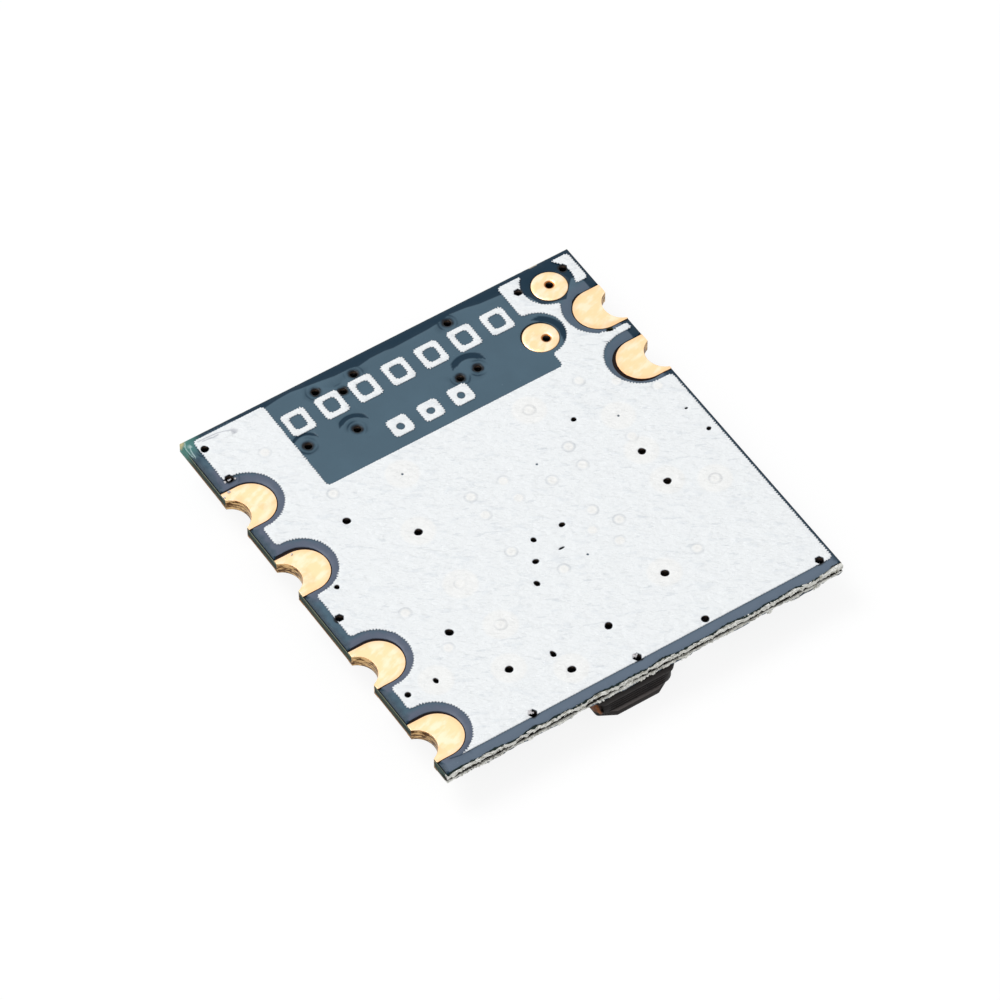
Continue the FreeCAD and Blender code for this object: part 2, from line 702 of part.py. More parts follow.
def chip_part(name, sizes, x, y, along_y):
    """Ceramic body of a chip part and its pair of fired-on end caps."""
    length, width, height = sizes
    coat = "2 * Sizes.cap_coat"
    core_spans = spans(f"({length} - {coat})", f"({width} - {coat})", along_y)
    body = block(name, x, y, f"({SEAT} - Sizes.cap_coat)", *core_spans, f"({height} - {coat})")
    ends = []
    for end_x, end_y in end_places(sizes, x, y, along_y, "Sizes.cap_band / 2"):
        cap_spans = spans("Sizes.cap_band", width, along_y)
        ends.append(block(f"{name}_end", end_x, end_y, SEAT, *cap_spans, height))
    caps = cut(f"{name}_end_caps", group("Compound", f"{name}_ends", ends), body)
    return [body, caps]


def solder_fillet(name, x, y, quarter_turns, width, rise):
    """Ramp of solder from a land up the end of a part; quarter turns from +X."""
    ramp = doc.addObject("Part::Wedge", name)
    fixed = {"Xmin": "0", "Ymin": "0", "Zmin": "0", "X2min": "0", "Z2min": "0"}
    driven = {"Xmax": "Sizes.fillet_toe", "X2max": "Sizes.fillet_top", "Ymax": rise, "Zmax": width,
              "Z2max": width}
    for key, formula in {**fixed, **driven}.items():
        ramp.setExpression(key, formula)
    ramp.Placement.Rotation = Rotation(Vector(0, 0, 1), 90 * quarter_turns).multiply(
        Rotation(Vector(1, 0, 0), -90))
    shift = {0: ("0", f"-({width}) / 2"), 1: (f"({width}) / 2", "0"), 2: ("0", f"({width}) / 2"),
             3: (f"-({width}) / 2", "0")}[quarter_turns]
    move_to(ramp, f"{x} + {shift[0]}", f"{y} + {shift[1]}")
    ramp.setExpression("Placement.Base.z", LAND_FACE)
    return ramp


def end_joints(name, sizes, x, y, along_y):
    """Solder under and up both ends of a chip part."""
    length, width, height = sizes
    joints = []
    bands = end_places(sizes, x, y, along_y, "Sizes.cap_band / 2")
    tips = end_places(sizes, x, y, along_y, "0")
    turns = (3, 1) if along_y else (2, 0)
    for band, tip, turn in zip(bands, tips, turns):
        under = block(f"{name}_under", *band, LAND_FACE, *spans("Sizes.cap_band", width, along_y),
                      "Sizes.solder_gap")
        ramp = solder_fillet(f"{name}_ramp", *tip, turn, width, f"Sizes.solder_gap + {height} / 2")
        joints.append(group("MultiFuse", f"{name}_joint", [under, ramp]))
    return joints


def end_lands(name, sizes, x, y, along_y, top, height, grow="0"):
    """Land or mask opening under each end of a chip part."""
    reach = f"(Sizes.cap_band + Sizes.land_toe + 2 * {grow})"
    across = f"({sizes[1]} + 2 * {grow})"
    middle = "(Sizes.cap_band - Sizes.land_toe) / 2"
    lands = []
    for end_x, end_y in end_places(sizes, x, y, along_y, middle):
        lands.append(block(name, end_x, end_y, top, *spans(reach, across, along_y), height))
    return lands


# Wireless chip: moulded body, leads round its edge and a heat paddle


def lead_row(label, level, length, width, height, outset):
    """Square ring of equal bars, patterned along one side and then round the chip."""
    body = new_body(label, level, turned_over=True)
    bar = new_sketch(body, "Bar")
    right = f"(Sizes.chip_side / 2 + {outset})"
    first = "(Sizes.lead_count - 1) / 2 * Sizes.lead_pitch"
    add_rectangle(bar, f"{right} - {length}", right, f"-{first} - {width} / 2", f"-{first} + {width} / 2")
    raised = pad(body, bar, height)
    ring = body.newObject("PartDesign::MultiTransform", "Ring")
    along = doc.addObject("PartDesign::LinearPattern", "Along")
    along.Direction = (bar, ["V_Axis"])
    along.setExpression("Length", "(Sizes.lead_count - 1) * Sizes.lead_pitch")
    along.setExpression("Occurrences", "Sizes.lead_count")
    around = doc.addObject("PartDesign::PolarPattern", "Around")
    around.Axis = (bar, ["N_Axis"])
    around.Angle = 360
    around.Occurrences = 4
    ring.Originals = [raised]
    ring.Transformations = [along, around]
    body.addObject(along)
    body.addObject(around)
    body.Tip = ring
    move_to(body, "Levels.chip_x", "Sizes.chip_y")
    return body


def wifi_chip():
    """Moulded body, perimeter leads and paddle of the wireless chip."""
    leads = lead_row("wifi_chip_leads", SEAT, "Sizes.lead_length", "Sizes.lead_width",
                     "Sizes.lead_thickness", "0")
    paddle = block("wifi_chip_paddle", "Levels.chip_x", "Sizes.chip_y", SEAT, "Sizes.paddle_side",
                   "Sizes.paddle_side", "Sizes.lead_thickness")
    body = new_body("chip_moulding", f"{SEAT} - Sizes.chip_standoff", turned_over=True)
    outline = new_sketch(body, "Outline")
    half = "(Sizes.chip_side / 2)"
    add_rectangle(outline, f"-{half}", half, f"-{half}", half)
    raised = pad(body, outline, "Sizes.chip_height - Sizes.chip_standoff")
    doc.recompute()
    bevel = body.newObject("PartDesign::Chamfer", "Bevel")
    bevel.Base = (raised, [highest_face(raised)])
    bevel.setExpression("Size", "Sizes.chip_edge_bevel")
    body.Tip = bevel
    dimple = new_sketch(body, "Dimple", "Sizes.chip_height - Sizes.chip_standoff - Sizes.dimple_depth")
    corner = f"(-{half} + Sizes.dimple_inset)"
    add_circles(dimple, [(corner, corner)], "Sizes.dimple_radius")
    pocket(body, dimple, "Sizes.dimple_depth")
    move_to(body, "Levels.chip_x", "Sizes.chip_y")
    frame = group("Compound", "chip_lead_frame", [leads, paddle])
    return [cut("wifi_chip_body", body, frame), leads, paddle]


def highest_face(feature):
    """Name of the face furthest from the body's own XY plane."""
    heights = [face.CenterOfMass.z for face in feature.Shape.Faces]
    return f"Face{heights.index(max(heights)) + 1}"


# Crystal: ceramic tray, quartz blank on its ledge, and metal lid


def crystal():
    """Ceramic tray with a stepped cavity, quartz blank, lid and four pads."""
    half_w = "(Sizes.crystal_width / 2)"
    half_l = "(Sizes.crystal_length / 2)"
    tray_height = "(Sizes.crystal_height - Sizes.lid_thickness - Sizes.crystal_pad_thickness)"
    tray = new_body("crystal_tray", f"{SEAT} - Sizes.crystal_pad_thickness", turned_over=True)
    outline = new_sketch(tray, "Outline")
    add_rectangle(outline, f"-{half_w}", half_w, f"-{half_l}", half_l)
    pad(tray, outline, tray_height)
    inner_w = f"({half_w} - Sizes.crystal_wall)"
    inner_l = f"({half_l} - Sizes.crystal_wall)"
    well = new_sketch(tray, "Well", "Sizes.crystal_floor")
    well_l = f"({inner_l} - Sizes.crystal_ledge_width)"
    add_rectangle(well, f"-{inner_w}", inner_w, f"-{well_l}", well_l)
    pocket(tray, well)
    mouth = new_sketch(tray, "Mouth", "Sizes.crystal_floor + Sizes.crystal_ledge")
    add_rectangle(mouth, f"-{inner_w}", inner_w, f"-{inner_l}", inner_l)
    pocket(tray, mouth)
    move_to(tray, "Levels.crystal_x", "Levels.crystal_y")
    blank_top = f"({SEAT} - Sizes.crystal_pad_thickness - Sizes.crystal_floor - Sizes.crystal_ledge)"
    blank = block("quartz_blank", "Levels.crystal_x", "Levels.crystal_y", blank_top,
                  f"2 * ({inner_w} - Sizes.quartz_clearance)", f"2 * ({inner_l} - Sizes.quartz_clearance)",
                  "Sizes.quartz_thickness")
    lid = new_body("crystal_lid", f"{SEAT} - Sizes.crystal_height + Sizes.lid_thickness", turned_over=True)
    plate = new_sketch(lid, "Plate")
    rounded_rectangle(plate, f"({half_w} - Sizes.lid_inset)", f"({half_l} - Sizes.lid_inset)",
                      "Sizes.lid_corner_radius")
    pad(lid, plate, "Sizes.lid_thickness")
    move_to(lid, "Levels.crystal_x", "Levels.crystal_y")
    pads = [block("crystal_pad", x, y, SEAT, "Sizes.crystal_pad_width", "Sizes.crystal_pad_length",
                  "Sizes.crystal_pad_thickness") for x, y in crystal_pad_places()]
    return [tray, blank, lid, group("Compound", "crystal_pads", pads)]


def crystal_pad_places():
    """Centres of the four corner pads of the crystal."""
    out_x = "(Sizes.crystal_width - Sizes.crystal_pad_width) / 2"
    out_y = "(Sizes.crystal_length - Sizes.crystal_pad_length) / 2"
    return [(f"(Levels.crystal_x + {a} * {out_x})", f"(Levels.crystal_y + {b} * {out_y})")
            for a in (-1, 1) for b in (-1, 1)]


def rounded_rectangle(sketch, half_w, half_l, radius):
    """Centred rectangle with round corners."""
    diagonal = f"(1 - sqrt(2) / 2) * {radius}"
    corners = []
    arcs = {}
    for sx, sy, flip in ((1, -1, True), (1, 1, False), (-1, 1, True), (-1, -1, False)):
        on_end = (f"{sx} * ({half_w} - {radius})", f"{sy} * {half_l}")
        on_side = (f"{sx} * {half_w}", f"{sy} * ({half_l} - {radius})")
        arcs[len(corners)] = (radius, (f"{sx} * ({half_w} - {diagonal})", f"{sy} * ({half_l} - {diagonal})"))
        corners += [on_end, on_side] if flip else [on_side, on_end]
    add_outline(sketch, corners, arcs)


# Power inductor: ferrite drum, coated winding and two end terminals


def clipped_rectangle(sketch, half_w, half_l, clip_x, clip_y):
    """Centred rectangle with its corners cut off by a length along each side."""
    corners = []
    for sx, sy, flip in ((1, -1, True), (1, 1, False), (-1, 1, True), (-1, -1, False)):
        on_end = (f"{sx} * ({half_w} - {clip_x})", f"{sy} * {half_l}")
        on_side = (f"{sx} * {half_w}", f"{sy} * ({half_l} - {clip_y})")
        corners += [on_end, on_side] if flip else [on_side, on_end]
    add_outline(sketch, corners)


def power_inductor():
    """Drum core, winding round its post, and terminals wrapped round the base flange."""
    half_w = "(Sizes.inductor_width / 2)"
    half_l = "(Sizes.inductor_depth / 2)"
    post_height = ("(Sizes.inductor_height - Sizes.terminal_thickness - Sizes.base_flange_thickness"
                   " - Sizes.far_flange_thickness)")
    core = new_body("drum_core", f"{SEAT} - Sizes.terminal_thickness", turned_over=True)
    base = new_sketch(core, "BaseFlange")
    clipped_rectangle(base, half_w, half_l, "Sizes.inductor_clip", "Sizes.inductor_clip")
    pad(core, base, "Sizes.base_flange_thickness")
    post = new_sketch(core, "Post", "Sizes.base_flange_thickness")
    add_circles(post, [("0", "0")], "Sizes.core_post_radius")
    pad(core, post, post_height)
    far = new_sketch(core, "FarFlange", f"Sizes.base_flange_thickness + {post_height}")
    clipped_rectangle(far, "(Sizes.far_flange_width / 2)", half_l, "Sizes.far_flange_clip_x",
                      "Sizes.far_flange_clip_y")
    pad(core, far, "Sizes.far_flange_thickness")
    winding_level = f"{SEAT} - Sizes.terminal_thickness - Sizes.base_flange_thickness"
    winding = new_body("inductor_winding", winding_level, turned_over=True)
    coil = new_sketch(winding, "Coil")
    rounded_rectangle(coil, f"({half_w} - Sizes.winding_inset)", f"({half_l} - Sizes.winding_inset)",
                      "Sizes.winding_corner_radius")
    add_circles(coil, [("0", "0")], "Sizes.core_post_radius")
    pad(winding, coil, post_height)
    for body in (core, winding):
        move_to(body, "Sizes.inductor_x", "Levels.inductor_y")
    terminals = []
    for side, foot_x in terminal_places():
        foot = block("terminal_foot", foot_x, "Levels.inductor_y", SEAT, "Sizes.terminal_width",
                     TERMINAL_SPAN, "Sizes.terminal_thickness")
        lip_x = f"(Sizes.inductor_x + {side} * ({half_w} + Sizes.terminal_thickness / 2))"
        lip = block("terminal_lip", lip_x, "Levels.inductor_y", SEAT, "Sizes.terminal_thickness",
                    TERMINAL_SPAN, "Sizes.terminal_thickness + Sizes.terminal_wrap")
        terminals.append(group("MultiFuse", "terminal", [foot, lip]))
    return [core, winding, group("Compound", "inductor_terminals", terminals)]


def terminal_places():
    """Side and centre of the two terminal feet under the inductor's ends."""
    reach = "(Sizes.inductor_width / 2 - Sizes.terminal_width / 2)"
    return [(side, f"(Sizes.inductor_x + {side} * {reach})") for side in (-1, 1)]


# Lands, solder and the mask of the component side


def front_rectangles(name, top, height, grow="0"):
    """Rectangle under every terminal of the component side, grown by a gap."""
    shapes = []
    for part_name, sizes, x, y, along_y in PARTS:
        shapes += end_lands(f"{name}_{part_name}", sizes, x, y, along_y, top, height, grow)
    for x, y in crystal_pad_places():
        shapes.append(block(f"{name}_crystal", x, y, top, f"(Sizes.crystal_pad_width + 2 * {grow})",
                            f"(Sizes.crystal_pad_length + 2 * {grow})", height))
    for side, x in terminal_places():
        shapes.append(block(f"{name}_inductor", x, "Levels.inductor_y", top,
                            f"(Sizes.terminal_width + 2 * {grow})", f"({TERMINAL_SPAN} + 2 * {grow})",
                            height))
    shapes.append(block(f"{name}_paddle", "Levels.chip_x", "Sizes.chip_y", top,
                        f"(Sizes.paddle_side + 2 * {grow})", f"(Sizes.paddle_side + 2 * {grow})", height))
    return shapes


def front_lands():
    """Copper lands under every terminal."""
    shapes = front_rectangles("land", FRONT_FACE, "Sizes.copper_thickness")
    length = "(Sizes.lead_length + Sizes.land_toe)"
    shapes.append(lead_row("chip_lands", FRONT_FACE, length, "Sizes.lead_width", "Sizes.copper_thickness",
                           "Sizes.land_toe"))
    return group("Compound", "front_lands", shapes)


def solder_joints():
    """Solder between lands and terminals, with ramps up the ends of the chip parts."""
    shapes = []
    for part_name, sizes, x, y, along_y in PARTS:
        shapes += end_joints(part_name, sizes, x, y, along_y)
    for x, y in crystal_pad_places():
        shapes.append(block("crystal_solder", x, y, LAND_FACE, "Sizes.crystal_pad_width",
                            "Sizes.crystal_pad_length", "Sizes.solder_gap"))
    for side, x in terminal_places():
        shapes.append(block("inductor_solder", x, "Levels.inductor_y", LAND_FACE, "Sizes.terminal_width",
                            TERMINAL_SPAN, "Sizes.solder_gap"))
    shapes.append(block("paddle_solder", "Levels.chip_x", "Sizes.chip_y", LAND_FACE, "Sizes.paddle_side",
                        "Sizes.paddle_side", "Sizes.solder_gap"))
    shapes.append(lead_row("chip_solder", LAND_FACE, "Sizes.lead_length", "Sizes.lead_width",
                           "Sizes.solder_gap", "0"))
    return group("Compound", "solder_joints", shapes)


def solder_mask_front():
    """Blue mask of the component side, open at every land and contact."""
    level = f"({FRONT_FACE} - Sizes.mask_thickness)"
    body = mask_blank("mask_front_blank", level)
    tools = front_rectangles("opening", FRONT_FACE, "Sizes.mask_thickness", "Sizes.mask_gap")
    for label, side, along, _ in CONTACTS:
        tools.append(block(f"front_open_{label}", f"{side} * {HALF_WIDTH}", along, FRONT_FACE,
                           "2 * (Sizes.front_pad_reach + Sizes.mask_gap)",
                           "2 * (Sizes.pad_radius + Sizes.mask_gap)", "Sizes.mask_thickness"))
    frame = "(Sizes.chip_side + 2 * (Sizes.land_toe + Sizes.mask_gap))"
    hollow = "(Sizes.chip_side - 2 * (Sizes.lead_length + Sizes.mask_gap))"
    outer = block("lead_opening_outer", "Levels.chip_x", "Sizes.chip_y", FRONT_FACE, frame, frame,
                  "Sizes.mask_thickness")
    inner = block("lead_opening_inner", "Levels.chip_x", "Sizes.chip_y", FRONT_FACE, hollow, hollow,
                  "Sizes.mask_thickness")
    tools.append(cut("lead_opening", outer, inner))
    low = value(level)
    tools.append(torn_front("torn_front_mask", low, low + sheet.mask_thickness, 0.3))
    return cut("solder_mask_front", body, group("Compound", "front_mask_tools", tools))


# Assembly


def build():
    """All pieces of the module, each under its own label."""
    nodes = [board_laminate(), via_barrels(), solder_mask_back(), solder_mask_front(), silkscreen_back()]
    nodes += [castellated_contact(*contact) for contact in CONTACTS]
    nodes += [test_pad(*place) for place in TEST_PADS]
    nodes += [front_lands(), solder_joints()]
    nodes += wifi_chip()
    nodes += crystal()
    nodes += power_inductor()
    for part in PARTS:
        nodes += chip_part(*part)
    doc.recompute()
    return nodes


def check_and_write(nodes):
    """Stop on any failed object or unsound shape, then write one file for each piece."""
    failed = [thing.Label for thing in doc.Objects if {"Invalid", "Error"} & set(thing.State)]
    unsound = [node.Label for node in nodes if node.Shape.isNull() or not node.Shape.isValid()]
    if failed or unsound:
        raise SystemExit(f"failed objects {failed}, unsound shapes {unsound}")
    os.makedirs("parts", exist_ok=True)
    for node in nodes:
        node.Shape.exportStep(f"parts/{node.Label}.step")
        print(f"{node.Label:28s} solids {len(node.Shape.Solids):3d}  volume {node.Shape.Volume:9.4f}")


check_and_write(build())
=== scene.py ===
import logging
import math
from collections import defaultdict, deque
from dataclasses import dataclass, field
from enum import Enum
from functools import partial
from typing import Callable, Mapping, Sequence

import bmesh
import bpy
import numpy as np
from mathutils import Euler, Matrix, Vector, noise
from mathutils.geometry import delaunay_2d_cdt
from mathutils.kdtree import KDTree


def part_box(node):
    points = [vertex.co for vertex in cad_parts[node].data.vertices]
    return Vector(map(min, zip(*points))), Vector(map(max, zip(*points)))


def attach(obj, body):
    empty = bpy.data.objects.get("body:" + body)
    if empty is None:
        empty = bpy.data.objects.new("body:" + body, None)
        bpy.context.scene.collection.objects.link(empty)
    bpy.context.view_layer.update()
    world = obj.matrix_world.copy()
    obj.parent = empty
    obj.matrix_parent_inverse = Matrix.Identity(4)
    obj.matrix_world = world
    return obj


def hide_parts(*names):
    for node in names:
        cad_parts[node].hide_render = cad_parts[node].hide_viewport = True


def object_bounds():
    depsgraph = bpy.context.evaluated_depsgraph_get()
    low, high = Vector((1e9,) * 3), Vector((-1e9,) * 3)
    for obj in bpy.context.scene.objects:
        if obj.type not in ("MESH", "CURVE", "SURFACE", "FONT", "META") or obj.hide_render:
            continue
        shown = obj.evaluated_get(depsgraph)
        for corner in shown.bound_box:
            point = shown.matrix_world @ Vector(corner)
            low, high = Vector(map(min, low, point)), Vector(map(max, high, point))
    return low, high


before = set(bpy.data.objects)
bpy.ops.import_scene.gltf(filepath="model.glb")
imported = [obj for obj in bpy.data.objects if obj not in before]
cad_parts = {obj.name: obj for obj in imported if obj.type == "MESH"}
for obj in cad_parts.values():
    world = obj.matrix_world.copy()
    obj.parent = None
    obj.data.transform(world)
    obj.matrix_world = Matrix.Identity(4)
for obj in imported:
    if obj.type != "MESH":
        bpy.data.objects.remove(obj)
CAD_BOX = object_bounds()

# The radio module dressed: lacquers, print, plating, parts, torn edge, floor, light and camera.
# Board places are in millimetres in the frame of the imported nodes; meshes are in metres.

log = logging.getLogger("radio_module")
MM = 0.001
BODY = "root"
Triple = tuple[float, float, float]
Colour = Triple
Point = tuple[float, float]
Rows = np.ndarray
Outline = np.ndarray
Socket = bpy.types.NodeSocket
Piece = bpy.types.Object


# Where the notches, pads and vias are

CONTACTS: dict[str, Point] = {
    "supply_contact": (-6.1, 3.70),
    "data_minus_contact": (-6.1, 1.08),
    "data_plus_contact": (-6.1, -2.47),
    "left_ground_contact": (-6.1, -5.24),
    "antenna_contact": (6.1, 4.22),
    "right_ground_contact": (6.1, 2.16),
}
TEST_PADS: dict[str, tuple[Point, Point]] = {
    "upper_test_pad": ((4.97, 5.60), (5.00, 5.65)),
    "lower_test_pad": ((3.79, 4.24), (3.91, 4.15)),
}
PAD_REACH = 0.47  # from the board's edge to the middle of a contact pad's lobe
PAD_RADIUS = 0.7
DRILL_RADIUS = 0.11
DRILL_AREA = 0.08  # a smaller opening is a drilled hole
MASK_TOP = 1.375
MASK_FRONT = -6.445  # how far forward the lacquers reach
FIBRE_TOP = 1.345  # how far up the loose fibres reach
MERGE_STEPS = 5000  # steps per millimetre in which corners count as one
SHARP_FROM = math.radians(40.0)  # an edge that turns further stays sharp
FULL_TURN = (6.28, 6.28, 6.28)
WHITE = (1.0, 1.0, 1.0, 1.0)

# Vias closed by ink: small dimples, some on a round land that lifts the ink a little. Of those that
# it closes but for a pinhole, the last two stand on lands.

INKED_VIAS: list[Point] = [
    (-4.21, -1.54), (-3.9, -3.09), (-3.65, 2.78), (-0.84, -1.37), (-0.74, 0.01), (-0.73, 0.71),
    (-0.02, -2.6), (0.27, 0.69), (0.29, 0.0), (1.3, -1.94), (1.35, 0.01), (1.67, -1.38),
    (1.71, -2.62), (2.08, -2.03), (2.3, 0.0), (2.33, 0.71), (3.23, -3.93), (3.8, 2.42),
    (3.91, 0.09), (4.61, 1.86), (5.44, 1.13), (-4.41, 4.93),
]
INKED_VIAS_ON_LANDS: list[Point] = [(-2.51, -1.53), (-2.37, -3.2), (2.15, 2.31), (4.93, -2.28)]
OPEN_VIAS_ON_LANDS: list[Point] = [
    (-4.72, -3.78), (-2.96, -4.48), (-2.48, 0.53), (-1.63, -5.36), (2.09, -4.11), (3.86, -1.63),
    (3.86, -0.44),
]
PINHOLES: list[Point] = [(1.31, 0.68), (0.76, -2.53), (-1.8, 2.34), (4.0, 0.86)]
CLOSED_VIAS = INKED_VIAS + INKED_VIAS_ON_LANDS
LANDS = OPEN_VIAS_ON_LANDS + INKED_VIAS_ON_LANDS + PINHOLES[2:]

# Open vias that the ink half closes: place, half width and half depth of what stays open

VEILED_VIAS: list[tuple[Point, Point]] = [
    ((0.32, -1.98), (0.09, 0.03)), ((0.76, -1.33), (0.09, 0.07)), ((-0.85, -2.57), (0.075, 0.095)),
    ((-5.71, -0.70), (0.075, 0.06)), ((-5.21, 0.17), (0.07, 0.075)), ((-5.56, -3.74), (0.085, 0.09)),
    ((-4.72, -3.76), (0.07, 0.09)), ((5.64, 0.10), (0.045, 0.03)), ((5.75, -0.78), (0.065, 0.06)),
    ((2.96, 1.43), (0.075, 0.075)), ((-0.48, -1.96), (0.09, 0.08)), ((-0.14, -1.34), (0.08, 0.08)),
    ((-1.76, -4.69), (0.075, 0.11)),
]

# Where the copper under the back lacquer stops: a wavy line along the back edge. Crescents: arcs of painted
# shade on one side of shallow moats round vias and the lower test pad, tinted as bare laminate

COPPER_BACK_LINE: list[Point] = [
    (-6.1, 6.3), (-4.6, 6.33), (-3.58, 6.23), (-3.15, 6.29), (-2.74, 6.31), (-2.44, 6.26),
    (-1.94, 6.2), (-1.45, 6.13), (-0.98, 6.13), (-0.75, 6.07), (-0.38, 6.13), (0.09, 6.13),
    (0.34, 6.09), (1.02, 6.11), (1.43, 6.12), (1.72, 6.15), (2.19, 6.24), (2.7, 6.19),
    (3.06, 6.11), (3.44, 6.08), (3.83, 6.05), (4.1, 5.98), (4.3, 5.6), (4.45, 5.15), (5.1, 4.97),
    (5.35, 5.25), (5.6, 5.5), (6.1, 5.4),
]
COPPER_RIGHT = 5.84
SHADE_CRESCENTS: list[tuple[Point, float, float, float]] = [
    ((-1.95, 4.29), 0.46, 0.07, 0.0), ((-3.33, 4.52), 0.4, 0.05, 0.0), ((1.66, 4.28), 0.52, 0.1, 0.0),
    ((3.79, 4.24), 0.64, 0.10, -65.0),
]
COPPER_GROOVE: list[Point] = [(-5.75, -6.03), (-5.48, -6.085), (-5.27, -6.05), (-5.03, -5.92)]

# Clumps: middle, reach along each axis and number of crumbs

Clump = tuple[Triple, Triple, int]
CLUMPS: list[Clump] = [
    ((1.18, -6.39, 1.03), (0.13, 0.03, 0.07), 16), ((-0.55, -6.39, 1.08), (0.16, 0.03, 0.12), 30),
    ((-1.43, -6.39, 1.02), (0.10, 0.03, 0.05), 10), ((-1.1, -6.39, 1.01), (0.22, 0.02, 0.03), 12),
    ((0.2, -6.39, 1.02), (0.4, 0.02, 0.04), 16), ((5.38, -6.37, 1.31), (0.10, 0.04, 0.03), 9),
    ((4.56, -6.38, 1.25), (0.10, 0.03, 0.04), 9), ((3.73, -6.38, 1.23), (0.12, 0.03, 0.04), 10),
    ((3.09, -6.37, 1.31), (0.07, 0.03, 0.03), 6), ((5.92, -6.36, 1.24), (0.15, 0.05, 0.10), 34),
    ((5.31, -6.39, 0.96), (0.14, 0.02, 0.04), 12), ((4.65, -6.39, 0.97), (0.10, 0.02, 0.04), 9),
    ((3.85, -6.39, 0.97), (0.12, 0.02, 0.04), 10), ((2.4, -6.39, 1.0), (0.3, 0.02, 0.03), 12),
    ((-5.85, -6.38, 1.22), (0.2, 0.03, 0.06), 16), ((-4.9, -6.39, 1.0), (0.3, 0.02, 0.04), 14),
    ((-3.6, -6.39, 1.02), (0.25, 0.02, 0.04), 12), ((-2.6, -6.39, 1.0), (0.3, 0.02, 0.04), 14),
]
INK_CRUMBS: list[Clump] = [
    ((-3.26, -5.935, 1.372), (0.11, 0.07, 0.012), 20),
    ((-0.05, -5.905, 1.372), (0.11, 0.07, 0.012), 20),
    ((-5.69, 4.69, 1.362), (0.10, 0.03, 0.010), 6), ((-5.5, 4.64, 1.372), (0.04, 0.02, 0.01), 4),
    ((-5.88, 4.37, 1.366), (0.04, 0.04, 0.012), 7), ((-6.07, 4.27, 1.362), (0.02, 0.04, 0.012), 5),
    ((-5.62, 1.70, 1.374), (0.03, 0.01, 0.006), 3),
]


class Side(Enum):
    """Which way the worked face of a layer looks."""

    UP = 1
    DOWN = -1


def new_object(name: str, data: bpy.types.ID) -> Piece:
    """Object in the scene.

    Args:
        name: name of the object.
        data: its mesh, curve, lamp or camera.

    Returns:
        The new object.
    """
    made = bpy.data.objects.new(name, data)
    bpy.context.scene.collection.objects.link(made)
    return made


# Wiring of shader and pattern trees


class Bench:
    """Sets out the nodes of one tree and wires them."""

    def __init__(self, tree: bpy.types.NodeTree) -> None:
        """Take an empty tree."""
        self.tree = tree

    def put(self, kind: str, wired: Mapping | None = None, **settings: object) -> bpy.types.Node:
        """Add a node.

        Args:
            kind: Blender's name of the node type.
            wired: for each input socket, the output that feeds it or its plain value.
            settings: properties of the node itself.

        Returns:
            The new node.
        """
        node = self.tree.nodes.new(kind)
        for key, value in settings.items():
            setattr(node, key, value)
        for socket, value in (wired or {}).items():
            if isinstance(value, Socket):
                self.tree.links.new(value, node.inputs[socket])
            else:
                node.inputs[socket].default_value = value
        return node

    def sum(self, operation: str, *terms: object) -> Socket:
        """One arithmetic step on sockets or numbers, by the name of its Math operation."""
        return self.put("ShaderNodeMath", dict(enumerate(terms)), operation=operation).outputs[0]

    def times(self, *terms: object) -> Socket:
        """Product of two sockets or numbers."""
        return self.sum("MULTIPLY", *terms)


